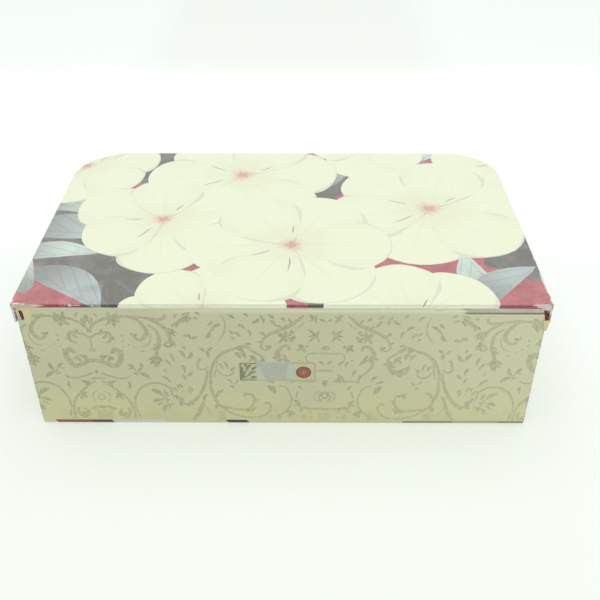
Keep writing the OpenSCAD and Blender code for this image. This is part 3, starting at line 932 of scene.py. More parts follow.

# Painted shade in the dark hollows between the curled fibres at the right rear corner, given in the same
# way
LID_HOLLOW_SHADES = [
    (123.6, -79.2, 0.8, 0.35), (125.2, -79.9, 0.7, 0.45), (121.6, -80.6, 0.9, 0.3),
    (126.2, -81.0, 0.5, 0.5), (119.4, -80.2, 0.8, 0.25),
]
HOLLOW_SHADE_TINT = (0.10, 0.11, 0.07)


def rough_patch(random, x, y, reach_x, reach_y):
    """Ragged outline of a torn or rubbed spot."""
    outline = []
    corners = 15
    for i in range(corners):
        angle = 2 * math.pi * i / corners
        reach = random.uniform(0.55, 1.15)
        outline.append((x + reach_x * reach * math.cos(angle), y + reach_y * reach * math.sin(angle)))
    return outline


def lid_print():
    """A plain floral pattern: large cream flowers over red and grey, with grey-green leaves."""
    motifs = [Motif(patch, HOLLOW_LAY, tint=FLORAL_GREY) for patch in GREY_PATCHES]
    motifs += [foliage(*leaf) for leaf in FOLIAGE]
    for flower in BLOSSOMS:
        motifs += blossom(*flower)
    random = np.random.default_rng(7)
    for scuff in LID_SCUFFS:
        motifs.append(Motif(rough_patch(random, *scuff), SCUFF_LAY, tint=WHITE_PULP))
    # Painted shade in the hollows between the fibres at the right rear corner
    for hollow_shade in LID_HOLLOW_SHADES:
        motifs.append(Motif(rough_patch(random, *hollow_shade), PLAIN_LAY, tint=HOLLOW_SHADE_TINT))
    return motifs


# The rear fold of the lid paper is shaded softer than its own small radius: degrees and mm
SOFT_EDGE_LEAN, SOFT_EDGE_LOW, SOFT_EDGE_RISE = 62.0, 73.8, 3.3


def lid_sheet():
    """The printed paper over the lid, down and under its rim, and over the rear edge of the board."""
    plan = Plan(LID_HALF, REAR_Y, LID_FRONT, LID_CORNER, 0)
    edge, low = 0.45, 0.3
    section = Path(
        [(-INSIDE, LID_TOP), (0, LID_TOP), (0, RIM_LOW), (-RIM_LAYERS, RIM_LOW), (-RIM_LAYERS, LID_UNDER)],
        [edge, low, low], side=-1,
    )
    lap = section.length - INSIDE
    rear_drop = LID_TOP - LID_UNDER
    rim_drop = LID_TOP - RIM_LOW

    def front_loop(outside):
        return [p for p in plan.loop(outside) if p.y > LID_FRONT - LID_CORNER - TINY]

    half = LID_HALF
    sheet = Sheet("floral_lid_paper", [[
        (-half, REAR_Y - rear_drop), (half, REAR_Y - rear_drop), (half, REAR_Y),
        (half + rear_drop, REAR_Y), (half + rear_drop, REAR_Y - RIM_LAYERS),
        (half + rim_drop, REAR_Y - RIM_LAYERS), (half + rim_drop, REAR_Y), (half + lap, REAR_Y),
        *front_loop(lap),
        (-half - lap, REAR_Y), (-half - rim_drop, REAR_Y), (-half - rim_drop, REAR_Y - RIM_LAYERS),
        (-half - rear_drop, REAR_Y - RIM_LAYERS), (-half - rear_drop, REAR_Y), (-half, REAR_Y),
    ]])
    sheet.print = lid_print()
    for at in section.bends(18):
        ring = front_loop(at - INSIDE)
        ring = [Vector((ring[0].x, REAR_Y - 3)), *ring, Vector((ring[-1].x, REAR_Y - 3))]
        sheet.creases += list(zip(ring, ring[1:]))
        if at - INSIDE < rear_drop:
            y = REAR_Y - (at - INSIDE)
            sheet.creases.append((Vector((-half, y)), Vector((half, y))))
    left_front = plan.spokes(-1.2, lap)[CORNER_RAYS:]
    sheet.creases += left_front
    for side in (-1, 1):
        for y in (REAR_Y - 0.3, REAR_Y, REAR_Y + 0.3):
            sheet.creases.append((Vector((side * half, y)), Vector((side * (half + lap), y))))
    spacing = 5.0
    grid = itertools.product(range(-30, 31), range(-17, 20))
    sheet.points = [(x * spacing + (y % 2) * spacing / 2, y * spacing) for x, y in grid]

    def place(flat):
        way = math.copysign(1, flat.x)
        at_side = abs(flat.x) > half + TINY
        if flat.y < REAR_Y - TINY and at_side:
            beyond = REAR_Y - flat.y
            _, z = section.at(INSIDE + abs(flat.x) - half)[0]
            return Vector((way * (half - beyond), REAR_Y, z)), Vector((0, -1, 0))
        spot, normal, outside = plan.foot(flat)
        if flat.y < REAR_Y + TINY and at_side:
            spot, normal = Vector((way * half, REAR_Y)), Vector((way, 0))
            outside = abs(flat.x) - half
        if outside < -INSIDE:
            return Vector((flat.x, flat.y, LID_TOP)), Vector((0, 0, 1))
        (out, z), turn = section.at(INSIDE + outside)
        upward = Vector((normal.x * turn.x, normal.y * turn.x, turn.y))
        if normal.y < -0.5:
            lean = math.radians(SOFT_EDGE_LEAN) * between((z - SOFT_EDGE_LOW) / SOFT_EDGE_RISE, 0, 1)
            upward.z = max(upward.z, math.tan(lean) * abs(upward.y))
            upward.normalize()
        if flat.y < REAR_Y + TINY and abs(flat.x) > half + rear_drop and outside < rim_drop:
            upward = Vector((way, -1, 0)).normalized()
        return Vector((spot.x + normal.x * out, spot.y + normal.y * out, z)), upward

    return sheet, place


def base_sheet():
    """The printed paper under the bottom, turned a little way up the walls."""
    plan = Plan(TRAY_HALF, REAR_Y, TRAY_FRONT, TRAY_CORNER, SQUARE_CORNER)
    edge = 0.45
    section = Path([(-INSIDE, 0), (0, 0), (0, TURN_UP)], [edge])
    lap = section.length - INSIDE
    sheet = Sheet("floral_base_paper", [plan.loop(lap)])
    low, high = REAR_Y - lap - 1, REAR_Y + 1
    lean = 3.0
    bands = [
        (-132, -120, BAND_CREAM), (-120, -101, BAND_RED), (-101, -90.5, BAND_DARK),
        (-90.5, -63, BAND_MINT), (-63, -31, BAND_OLIVE), (-31, -20, FLORAL_BLACK),
        (-20, 132, BAND_OLIVE),
    ]
    # Painted shadow: a thin grey line along the bottom edge of the rear face from x 62 mm, paler in its
    # middle part
    bottom_edge_shadow_bands = [(62, 88, EDGE_SHADOW_GREY), (88, 112, EDGE_SHADOW_PALE_GREY), (112, 132, EDGE_SHADOW_GREY)]
    for x, y, *flower in BLOSSOMS:
        sheet.print += blossom(-x, -y, *flower)
    for left, right, tint in bands:
        strip = [(left, low), (right, low), (right + lean, high), (left + lean, high)]
        sheet.print.append(Motif(strip, PLAIN_LAY, tint=tint))
    for left, right, tint in bottom_edge_shadow_bands:
        strip = [(left, REAR_Y - 1.4), (right, REAR_Y - 1.4), (right, REAR_Y), (left, REAR_Y)]
        sheet.print.append(Motif(strip, PLAIN_LAY, tint=tint))
    for at in section.bends(18):
        ring = plan.loop(at - INSIDE)
        sheet.creases += list(zip(ring, ring[1:] + ring[:1]))
    sheet.creases += plan.spokes(-0.6, lap)

    def place(flat):
        spot, normal, outside = plan.foot(flat)
        if outside < -INSIDE:
            return Vector((flat.x, flat.y, 0)), Vector((0, 0, -1))
        (out, z), turn = section.at(INSIDE + outside)
        upward = Vector((normal.x * turn.x, normal.y * turn.x, turn.y))
        return Vector((spot.x + normal.x * out, spot.y + normal.y * out, z)), upward

    return sheet, place


def rounded_rectangle(low, high, radius):
    points = []
    steps = 5
    (left, bottom), (right, top) = low, high
    corners = [
        (right - radius, bottom + radius, -90), (right - radius, top - radius, 0),
        (left + radius, top - radius, 90), (left + radius, bottom + radius, 180),
    ]
    for x, y, start in corners:
        for k in range(steps + 1):
            points.append(Vector((x, y)) + spoke(start + 90 * k / steps) * radius)
    return points


SCRAP_THICK = 0.08
SCRAP_ROWS = 8


def scrap_sheet(name, outline, stand_off):
    """A loose scrap of paper flat on the rear face, creased across."""
    sheet = Sheet(name, [outline], SCRAP_THICK)
    low = min(z for _, z in outline)
    high = max(z for _, z in outline)
    for i in range(1, SCRAP_ROWS):
        z = low + (high - low) * i / SCRAP_ROWS
        sheet.creases.append(((-200, z), (200, z)))

    def place(flat):
        return Vector((flat.x, REAR_Y - stand_off - SCRAP_THICK, flat.y)), Vector((0, -1, 0))

    return sheet, place


FIBRE_WIDE = 0.36
FIBRE_MARGIN = np.array((0.4, 0.14, 0.4))
ALMOST_Y = (0.03, 1.0, 0.02)


def fibre_tuft(name, roots, finish, seed):
    """Torn paper fibres: thin curled ribbons of pulp that lie nearly flat to the rear face.

    Each root is a point, the way its fibres run, their spread, length and number.
    """
    random = np.random.default_rng(seed)
    low = np.array((-LID_HALF, label_low.y, 0)) + FIBRE_MARGIN
    high = np.array((LID_HALF, LID_FRONT, LID_TOP)) - FIBRE_MARGIN
    sides, steps = 5, 8
    taper, flatness = 0.75, 0.35
    verts, faces = [], []
    for point, way, spread, length, count in roots:
        for _ in range(count):
            spot = np.array(point, float) + random.normal(0, 0.45, 3) * spread
            run = np.array(way, float) + random.normal(0, 0.6, 3)
            run /= np.linalg.norm(run)
            bend = random.normal(0, 0.35, 3)
            reach = length * random.uniform(0.4, 1.1)
            radius = random.uniform(0.14, FIBRE_WIDE)
            first = len(verts)
            for step in range(steps):
                share = step / (steps - 1)
                here = np.clip(spot, low, high)
                side = np.cross(run, ALMOST_Y)
                side /= np.linalg.norm(side)
                other = np.cross(run, side)
                thick = radius * (1 - taper * share)
                for k in range(sides):
                    angle = 2 * math.pi * k / sides
                    rim = side * math.cos(angle) + other * math.sin(angle) * flatness
                    verts.append(Vector((here + rim * thick) * MM))
                spot = spot + run * reach / steps
                run = run + bend * 0.6
                run /= np.linalg.norm(run)
                bend += random.normal(0, 0.12, 3)
            faces += tube_faces(first, steps, sides)
    return round_solid(name, verts, faces, finish)


LABEL_THICK = REAR_Y - label_low.y
LABEL_GROUND = linear(200, 205, 162)
LABEL_LINE = linear(172, 172, 126)
LABEL_FRAME = linear(118, 124, 84)
LABEL_LEAFY = linear(190, 198, 152)
LABEL_LEAF = linear(112, 125, 90)
LABEL_STRIP = linear(182, 187, 172)
LABEL_PALE = linear(190, 204, 180)
LABEL_ORANGE = linear(205, 160, 110)
LABEL_WARM_FROM = (1.0, 6.0)
LABEL_WARM_ABOVE = (40.3, 40.9)
SEAL_MIDDLE = linear(190, 132, 100)
SEAL_RED = linear(158, 98, 74)
SEAL_EDGE = linear(130, 78, 60)
SEAL_SHADE = linear(120, 62, 52)


def label_sheet():
    """The small label: an olive border, a spray of leaves at its left and a bare grey strip."""
    low, high = (label_low.x, label_low.z + 0.8), (label_high.x, label_high.z)
    sheet = Sheet("rear_label", [rounded_rectangle(low, high, 1.5)], LABEL_THICK)

    def inset(by):
        return (low[0] + by, low[1] + by), (high[0] - by, high[1] - by)

    left, bottom, top = low[0], low[1], high[1]
    sheet.print.append(Motif(rounded_rectangle(*inset(0.4), 1.1), tint=LABEL_LINE))
    sheet.print.append(Motif(rounded_rectangle(*inset(0.9), 0.8), tint=LABEL_GROUND))
    panel = (left + 0.5, bottom + 0.6), (left + 9.4, top - 0.8)
    sheet.print.append(Motif(rounded_rectangle(*panel, 0.7), tint=LABEL_FRAME))
    leafy = (left + 1.4, bottom + 1.3), (left + 8.9, top - 1.4)
    sheet.print.append(Motif(rounded_rectangle(*leafy, 0.4), tint=LABEL_LEAFY))
    strip = (8.8, 0.7), (29.2, 0.7), (28.8, 11.8), (24.0, 12.4), (12.4, 12.4), (8.6, 11.6)
    pale_left = (8.8, 0.7), (14.2, 0.7), (12.2, 4.4), (11.4, 8.6), (8.7, 10.2)
    pale_right = (23.4, 2.2), (26.6, 1.0), (29.2, 0.8), (28.8, 11.6), (25.2, 12.0), (24.0, 8.0)
    for outline, tint in ((strip, LABEL_STRIP), (pale_left, LABEL_PALE), (pale_right, LABEL_PALE)):
        sheet.print.append(Motif([(left + x, bottom + z) for x, z in outline], tint=tint))
    for x0, z0, x1, z1, width in (
        (1.8, 1.8, 4.4, 7.6, 1.7), (2.6, 4.2, 2.0, 9.8, 1.6), (3.6, 6.8, 6.6, 11.4, 1.8),
        (4.4, 4.4, 8.6, 6.4, 1.7), (5.4, 2.2, 9.2, 2.6, 1.5), (3.0, 9.6, 5.0, 12.2, 1.3),
        (6.2, 7.2, 9.6, 9.6, 1.4), (2.0, 1.6, 6.8, 4.4, 1.0),
    ):
        leaf = leaf_outline((left + x0, bottom + z0), (left + x1, bottom + z1), width)
        sheet.print.append(Motif(leaf, tint=LABEL_LEAF))

    def place(flat):
        return Vector((flat.x, label_low.y, flat.y)), Vector((0, -1, 0))

    return sheet, place


def seal_piece(finish):
    """The round red seal, lightly domed, with a pressed ring inside its edge."""
    centre = (seal_low + seal_high) / 2
    radius = (seal_high.x - seal_low.x) / 2
    thick = label_low.y - seal_low.y
    profile = [
        (0.3, 0.75), (0.5, 0.7), (0.58, 0.55), (0.64, 0.55), (0.72, 0.85), (0.86, 1.0), (0.95, 0.85),
        (1.0, 0.4), (1.0, 0.0),
    ]
    around = 64
    verts = []
    for share, height in profile:
        for i in range(around):
            angle = 2 * math.pi * i / around
            verts.append(Vector((
                centre.x + radius * share * math.cos(angle), label_low.y - thick * height,
                centre.z + radius * share * math.sin(angle),
            )) * MM)
    faces = tube_faces(0, len(profile), around)
    return round_solid("round_seal", verts, faces, finish)


def hinge_sheet(name, line, radii, rows, thickness):
    """A strip of hinge paper along the rear, folded to a section line given as (y, z) points."""
    section = Path(line, radii)
    columns = 24
    half = HINGE_HALF
    outline = [(-half, 0), (half, 0), (half, section.length), (-half, section.length)]
    sheet = Sheet(name, [outline], thickness)
    for at in sorted({*section.bends(30), *rows}):
        sheet.creases.append(((-half, at), (half, at)))
    for i in range(1, columns):
        x = -half + 2 * half * i / columns
        sheet.creases.append(((x, 0), (x, section.length)))

    def place(flat):
        (y, z), normal = section.at(flat.y)
        return Vector((flat.x, y, z)), Vector((0, normal.x, normal.y))

    return sheet, place


CORNER_SHADE_TONE = linear(92, 96, 104)
WHITE_CORE = linear(232, 228, 214)
SCROLL_GROUND = linear(208, 210, 170)
SCROLL_GROUND_LOW = linear(218, 218, 166)
SCROLL_GROUND_COOL = linear(201, 206, 170)
SCROLL_GROUND_PAINTED_LIGHT = linear(224, 229, 186)
SCROLL_GROUND_LIT = linear(244, 250, 214)
SCROLL_OCHRE = linear(216, 190, 130)
SCROLL_INK = linear(156, 160, 130)
SCROLL_INK_WARM = linear(163, 162, 124)
SCROLL_FIBRE = linear(188, 188, 154)
SCROLL_FLECK = linear(222, 222, 188)
UNDER_LID_SHADE_GREY = linear(112, 108, 92)
UNDER_LID_SHADE_RED = linear(120, 56, 52)

# Where the wall paper's tone changes, and where light and shade are painted on it, in mm: depths at the
# rear face, heights, and places across it
ON_REAR = (REAR_Y + 1.0, REAR_Y + 0.4)
REAR_EDGE = (REAR_Y + 1.6, REAR_Y + 0.6)
SIDE_EDGE = (TRAY_HALF - 0.9, TRAY_HALF - 0.2)
YELLOW_BELOW = (34.0, 2.0)
OCHRE_BELOW = (16.0, 3.0)
LIT_ABOVE = (70.6, 75.2)
LIT_FROM = (-66.0, -40.0)
LIT_MORE = (-40.0, 60.0)
LIT_UNTIL = (90.0, 84.0)
PAINTED_LIGHT_RIGHT = (10.0, 120.0)
FADED_RIGHT = (-20.0, 90.0)
UNDER_LID_SHADE_Z = 72.1
UNDER_LID_SHADE_REACH = (0.8, 0.3)
UNDER_LID_SHADE_FROM = (85.0, 88.0)
UNDER_LID_SHADE_RED_FROM = (96.0, 108.0)


def scroll_paper():
    """Satin paper, olive cream, with the scroll in a greyer olive. Yellower and blotched low down.

    The rear face has painted light along its top and towards the right, a painted line of shade under
    the right end of the lid, grey turning dark red, and painted shade in spots along its upright edges.
    """
    paper = Finish("satin_scroll_paper", Roughness=0.46, Coat_Roughness=0.35)
    across, depth, height = (paper.axis(name) for name in "XYZ")
    on_rear = depth.ramp(*ON_REAR)
    low = height.ramp(*YELLOW_BELOW)
    cloud = paper.noise(26.0, 3.0, 0.55)
    fine = paper.noise(0.9, 4.0, 0.7)
    ground = paper.mix(low, SCROLL_GROUND, SCROLL_GROUND_LOW)
    ground = paper.mix(cloud.ramp(0.35, 0.7, 0.0, 0.5), ground, SCROLL_GROUND_COOL)
    # Painted light: the ground turns paler towards the right, where more light falls
    ground = paper.mix(across.ramp(*PAINTED_LIGHT_RIGHT, 0.0, 0.5), ground, SCROLL_GROUND_PAINTED_LIGHT)
    # Painted light: a paler band along the top of the rear face, stronger towards the right and gone past x
    # 90 mm
    lit = height.ramp(*LIT_ABOVE) * on_rear
    lit = lit * (across.ramp(*LIT_FROM, 0.0, 0.6) + across.ramp(*LIT_MORE, 0.0, 0.3))
    ground = paper.mix(lit * across.ramp(*LIT_UNTIL), ground, SCROLL_GROUND_LIT)
    ochre = paper.noise(8.0, 2.0).ramp(0.52, 0.72) * height.ramp(*OCHRE_BELOW)
    ground = paper.mix(ochre * 0.45, ground, SCROLL_OCHRE)
    ink = paper.mix(cloud.ramp(0.3, 0.7), SCROLL_INK, SCROLL_INK_WARM)
    patchy = paper.noise(3.0, 3.0, 0.6).ramp(0.2, 0.75, 0.7, 1.0)
    grainy = paper.noise(1.3, 4.0, 0.7).ramp(0.3, 0.62, 0.3, 1.0)
    amount = paper.mark("ink") * patchy * grainy * low.ramp(0.0, 1.0, 1.0, 0.8)
    amount = amount * across.ramp(*FADED_RIGHT, 1.0, 0.76)
    colour = paper.mix(amount, ground, ink)
    flecks = paper.noise(1.1, 3.0, 0.7).ramp(0.62, 0.72) * 0.35
    colour = paper.mix(flecks, colour, SCROLL_FLECK)
    # Painted shade: a thin dark line under the right end of the lid, grey, and dark red further right where
    # red paper lies in that shade
    under_lid_shade = abs(height - UNDER_LID_SHADE_Z).ramp(*UNDER_LID_SHADE_REACH) * across.ramp(*UNDER_LID_SHADE_FROM) * on_rear
    under_lid_shade_tone = paper.mix(across.ramp(*UNDER_LID_SHADE_RED_FROM), UNDER_LID_SHADE_GREY, UNDER_LID_SHADE_RED)
    colour = paper.mix(under_lid_shade * 0.85, colour, under_lid_shade_tone)
    colour = paper.mix(fine.ramp(0.3, 0.75, 0.0, 0.10), colour, SCROLL_FIBRE)
    spots = paper.noise(1.6, 3.0, 0.6).ramp(0.46, 0.6)
    # Painted shade, in spots, where the paper turns round the upright corners of the rear face
    corner_shade = abs(across).ramp(*SIDE_EDGE) * depth.ramp(*REAR_EDGE) * spots
    colour = paper.mix(corner_shade * 0.8, colour, CORNER_SHADE_TONE)
    rough = fine.ramp(0.2, 0.8, 0.40, 0.56)
    bump = paper.bump(fine + paper.noise(5.0, 2.0) * 0.8, 0.03, 0.35)
    return paper.shade(Base_Color=colour, Roughness=rough, Normal=bump)


def is_kind(kind, wanted):
    """1 where the printed motif is of the wanted kind."""
    return kind.ramp(wanted - 0.6, wanted - 0.4) * kind.ramp(wanted + 0.6, wanted + 0.4)


# Where the lid paper's rear drop is shaded and rubbed, in mm
ON_DROP = (REAR_Y + 0.6, REAR_Y + 0.1)
DROP_ABOVE = (70.0, 72.0)
SHADED_BELOW = (77.2, 76.3)
RUBBED_BELOW = (75.8, 75.0)
RUBBED_UNTIL = (92.0, 84.0)
RUBBED_LEFT_BELOW = (77.5, 76.9)
RUBBED_LEFT_FROM = (-112.0, -116.0)


def floral_paper():
    """Glossy printed paper. Petals and leaves carry their own length and breadth for their veins.

    Where it turns down over the rear edge it is shaded and rubbed.
    """
    paper = Finish("glossy_floral_paper", Roughness=0.34, Coat_Weight=0.25, Coat_Roughness=0.2)
    tint = paper.mark("tint", "Color")
    along, side_of, kind = paper.split(paper.mark("lay", "Vector"))
    across = abs(side_of)
    is_petal, is_leaf, is_scuff, is_hollow, is_ground = (
        is_kind(kind, wanted) for wanted in (PETAL, LEAF, SCUFF, HOLLOW, GROUND)
    )
    cloud = paper.noise(14.0, 4.0, 0.6)
    fine = paper.noise(0.7, 4.0, 0.7)
    colour = paper.mix(cloud.ramp(0.3, 0.6, 0.7, 0.0) * is_ground, tint, FLORAL_DEEP_RED)
    broad = paper.noise(9.0, 3.0, 0.65)
    colour = paper.mix(broad.ramp(0.5, 0.7, 0.0, 0.6) * is_ground, colour, FLORAL_ROSE)
    colour = paper.mix(broad.ramp(0.46, 0.3, 0.0, 0.5) * is_ground, colour, FLORAL_BROWN)
    colour = paper.mix(cloud.ramp(0.36, 0.7, 0.0, 0.6) * is_hollow, colour, FLORAL_GREY_SOFT)
    heart = along.ramp(0.15, 0.02) * is_petal
    colour = paper.mix(heart * 0.6, colour, FLORAL_HEART)
    throat = along.ramp(0.5, 0.15) * is_petal
    colour = paper.mix(throat * 0.22, colour, FLORAL_THROAT)
    middle_rib = across.ramp(0.05, 0.0)
    side_rib = abs(across - 0.36).ramp(0.035, 0.0)
    ribs = middle_rib.most(side_rib * 0.7) * along.ramp(0.95, 0.55)
    colour = paper.mix(ribs * is_petal * 0.12, colour, FLORAL_RIB)
    rim = across.ramp(0.45, 1.0) * is_petal
    colour = paper.mix(rim * 0.14 * cloud.ramp(0.3, 0.7, 0.4, 1.0), colour, FLORAL_RIB)
    veins = ((across * 9.0 + along * 26.0).sine().ramp(0.75, 1.0)).most(across.ramp(0.09, 0.0))
    colour = paper.mix(veins * is_leaf * 0.26, colour, FLORAL_VEIN)
    shade = along.ramp(0.75, 0.05).most(cloud.ramp(0.4, 0.8) * 0.5)
    colour = paper.mix(shade * is_leaf * 0.65, colour, FLORAL_GREY)
    colour = paper.mix(fine.ramp(0.35, 0.8, 0.0, 0.06), colour, FLORAL_SHADE)
    side, depth, height = (paper.axis(name) for name in "XYZ")
    drop = depth.ramp(*ON_DROP) * height.ramp(*DROP_ABOVE) * (1.0 - is_scuff)
    shaded = drop * (1.0 - is_petal) * height.ramp(*SHADED_BELOW)
    colour = paper.mix(shaded * 0.9, colour, colour, "MULTIPLY")
    ragged = height + paper.noise(2.5, 3.0) * 0.5
    rubbed = ragged.ramp(*RUBBED_BELOW) * side.ramp(*RUBBED_UNTIL)
    rubbed = rubbed.most(ragged.ramp(*RUBBED_LEFT_BELOW) * side.ramp(*RUBBED_LEFT_FROM) * 0.9)
    colour = paper.mix(rubbed * drop * (1.0 - is_petal * 0.4) * 0.85, colour, SCROLL_GROUND)
    pulp = paper.noise(0.5, 5.0, 0.75)
    colour = paper.mix(pulp.ramp(0.45, 0.75) * is_scuff * 0.8, colour, PULP_SHADE)
    rough = fine.ramp(0.2, 0.8, 0.28, 0.42) + is_scuff * 0.5
    bump = paper.bump(fine + paper.noise(7.0, 2.0) + pulp * is_scuff * 8.0, 0.025, 0.3)
    return paper.shade(Base_Color=colour, Roughness=rough, Normal=bump)


def printed_label():
    """The label's paper, warmer at its upper right, where it is stained."""
    label = Finish("printed_label_paper", Roughness=0.42)
    tint = label.mark("tint", "Color")
    fine = label.noise(0.5, 4.0, 0.7)
    cloud = label.noise(5.0, 3.0)
    colour = label.mix(cloud.ramp(0.35, 0.7, 0.0, 0.3), tint, LABEL_GROUND)
    warm = label.axis("X").ramp(*LABEL_WARM_FROM) * label.axis("Z").ramp(*LABEL_WARM_ABOVE)
    colour = label.mix(warm * 0.5, colour, LABEL_ORANGE)
    colour = label.mix(fine.ramp(0.3, 0.8, 0.0, 0.14), colour, WHITE_CORE)
    bump = label.bump(fine, 0.02, 0.3)
    return label.shade(Base_Color=colour, Roughness=fine.ramp(0.2, 0.8, 0.36, 0.5), Normal=bump)


def seal_red():
    """Pressed red paper, lighter in its middle and darker at its edge."""
    seal = Finish("pressed_red_seal", Roughness=0.38)
    centre = (seal_low + seal_high) / 2
    x, z = seal.axis("X") - centre.x, seal.axis("Z") - centre.z
    far = (x * x + z * z) ** 0.5
    fine = seal.noise(0.6, 4.0, 0.7)
    colour = seal.mix(far.ramp(0.2, 2.2), SEAL_MIDDLE, SEAL_RED)
    colour = seal.mix(far.ramp(2.8, 3.8), colour, SEAL_EDGE)
    colour = seal.mix(fine.ramp(0.3, 0.8, 0.0, 0.25), colour, SEAL_SHADE)
    rough = fine.ramp(0.2, 0.8, 0.3, 0.5)
    return seal.shade(Base_Color=colour, Roughness=rough, Normal=seal.bump(fine, 0.03, 0.4))


def plain_paper(name, tone, shade, rough_low, rough_high, fibre_mm=1.2):
    """Uncoated paper: soft cloudiness, short fibres and a light tooth."""
    paper = Finish(name, Roughness=(rough_low + rough_high) / 2)
    cloud = paper.noise(18.0, 4.0, 0.6)
    fibre = paper.noise(fibre_mm, 5.0, 0.75, scale=(1.0, 0.35, 1.0))
    cross = paper.noise(fibre_mm * 0.7, 5.0, 0.75, scale=(0.4, 1.0, 1.0))
    colour = paper.mix(cloud.ramp(0.3, 0.75, 0.0, 0.6), tone, shade)
    colour = paper.mix((fibre + cross).ramp(0.9, 1.3, 0.0, 0.25), colour, shade)
    bump = paper.bump(fibre + cross, 0.03, 0.5)
    rough = fibre.ramp(0.2, 0.8, rough_low, rough_high)
    return paper.shade(Base_Color=colour, Roughness=rough, Normal=bump)


def pressed_board(name, tone, shade, fleck):
    """Grey board: felted fibres, darker flecks, and layers that show on its cut edges."""
    board = Finish(name, Roughness=0.9)
    cloud = board.noise(9.0, 4.0, 0.6)
    fibre = board.noise(1.4, 5.0, 0.75)
    layers = (board.axis("Z") * 4.0 + fibre * 5.0).sine().ramp(-0.2, 1.0)
    colour = board.mix(cloud.ramp(0.3, 0.75), tone, shade)
    colour = board.mix(layers * 0.15, colour, shade)
    specks = board.noise(0.7, 2.0).ramp(0.62, 0.7)
    colour = board.mix(specks * 0.6, colour, fleck)
    bump = board.bump(fibre + layers * 0.3, 0.08, 0.6)
    return board.shade(Base_Color=colour, Roughness=fibre.ramp(0.2, 0.8, 0.82, 0.98), Normal=bump)


HINGE_RED = linear(124, 44, 44)
HINGE_DARK = linear(88, 30, 32)
HINGE_RUBBED = linear(176, 140, 128)
HINGE_PALE = linear(220, 222, 186)
HINGE_FOLD = (73.2, 74.4)


def hinge_paper(name, printed=None):
    """Dark red pasted strip with a fine tooth, rubbed where it folds.

    Between the two X values of printed its face carries the pale print that runs over from the lid.
    """
    strip = Finish(name, Roughness=0.72)
    fibre = strip.noise(0.8, 4.0, 0.7)
    across, depth, height = (strip.axis(axis) for axis in "XYZ")
    weft = (across * 9.0).sine() * (height * 9.0 + depth * 9.0).sine()
    colour = strip.mix(fibre.ramp(0.25, 0.8), HINGE_RED, HINGE_DARK)
    rubbed = strip.noise(2.2, 4.0, 0.7).ramp(0.58, 0.7) * height.ramp(*HINGE_FOLD)
    colour = strip.mix(rubbed * 0.5, colour, HINGE_RUBBED)
    if printed:
        start, end = printed
        pale = across.ramp(start - 2.0, start + 2.0) * across.ramp(end + 3.0, end)
        colour = strip.mix(pale, colour, HINGE_PALE)
    bump = strip.bump(weft * 0.5 + fibre, 0.04, 0.6)
    return strip.shade(Base_Color=colour, Roughness=fibre.ramp(0.2, 0.8, 0.64, 0.82), Normal=bump)


def ink_mark(motif, _flat):
    return motif.values.get("ink", 0.0) if motif else 0.0


def tint_mark(ground):
    return lambda motif, _flat: (*(motif.values["tint"] if motif else ground), 1.0)


def lay_mark(motif, flat):
    return motif.lay(flat) if motif and motif.lay else (0.0, 0.0, GROUND)


paper_core = plain_paper("white_paper_core", WHITE_CORE, linear(206, 200, 182), 0.8, 0.95)
lining = plain_paper("cream_lining_paper", linear(226, 219, 192), linear(212, 203, 174), 0.72, 0.88)
stay_tape = plain_paper("gummed_tape", linear(206, 190, 152), linear(186, 168, 130), 0.7, 0.85)
greyboard = pressed_board("grey_board", linear(176, 166, 146), linear(156, 146, 126), linear(96, 88, 78))
card = pressed_board("rim_card", linear(206, 194, 168), linear(186, 172, 144), linear(140, 124, 100))
hinge_red = hinge_paper("dark_red_hinge_strip")
hinge_printed = hinge_paper("printed_hinge_strip", (-130.0, 84.0))
floral = floral_paper()

for node, finish in {
    "base_board": greyboard, "rear_wall": greyboard, "side_wall": greyboard, "lid_board": greyboard,
    "lid_rim": card, "corner_stay_left": stay_tape, "corner_stay_right": stay_tape,
    "wall_lining": lining, "floor_lining": lining, "lid_lining": lining,
}.items():
    nodes[node].data.materials.clear()
    nodes[node].data.materials.append(finish)

wrap, wrap_place = wrap_sheet()
scroll_wrap = wrap.fold(wrap_place, {"ink": ("FLOAT", ink_mark)}, scroll_paper(), paper_core)
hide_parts("tray_wrap")
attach(scroll_wrap, "tray")

cover, cover_place = lid_sheet()
floral_marks = {"tint": ("FLOAT_COLOR", tint_mark(FLORAL_RED)), "lay": ("FLOAT_VECTOR", lay_mark)}
floral_lid = cover.fold(cover_place, floral_marks, floral, paper_core)
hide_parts("lid_paper")
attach(floral_lid, "lid")

bottom, bottom_place = base_sheet()
floral_base = bottom.fold(bottom_place, floral_marks, floral, paper_core)
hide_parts("base_paper")
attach(floral_base, "tray")

tag, tag_place = label_sheet()
label_marks = {"tint": ("FLOAT_COLOR", tint_mark(LABEL_GROUND))}
rear_label = tag.fold(tag_place, label_marks, printed_label(), paper_core)
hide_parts("label")
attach(rear_label, "tray")

seal = seal_piece(seal_red())
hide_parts("label_seal")
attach(seal, "tray")

STRIP_THICK = strip_high.y - strip_low.y
FOLD_TALL = 0.8
gap_low = LID_UNDER - FOLD_TALL
outer_line = [(strip_low.y, strip_high.z), (strip_low.y, LAP_Z)]
outer_rows = [strip_high.z - LAP_Z - (gap_low - LAP_Z + FOLD_TALL * i / 16) for i in range(17)]
outer, outer_place = hinge_sheet("hinge_strip_outside", outer_line, [], outer_rows, STRIP_THICK)
hinge_out = outer.fold(outer_place, {}, hinge_printed, hinge_red)
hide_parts("hinge_strip")
fold_start, fold_end = (0, 0, gap_low * MM), (0, 0, LID_UNDER * MM)
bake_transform(hinge_out)
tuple(fold_start)
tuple(fold_end)

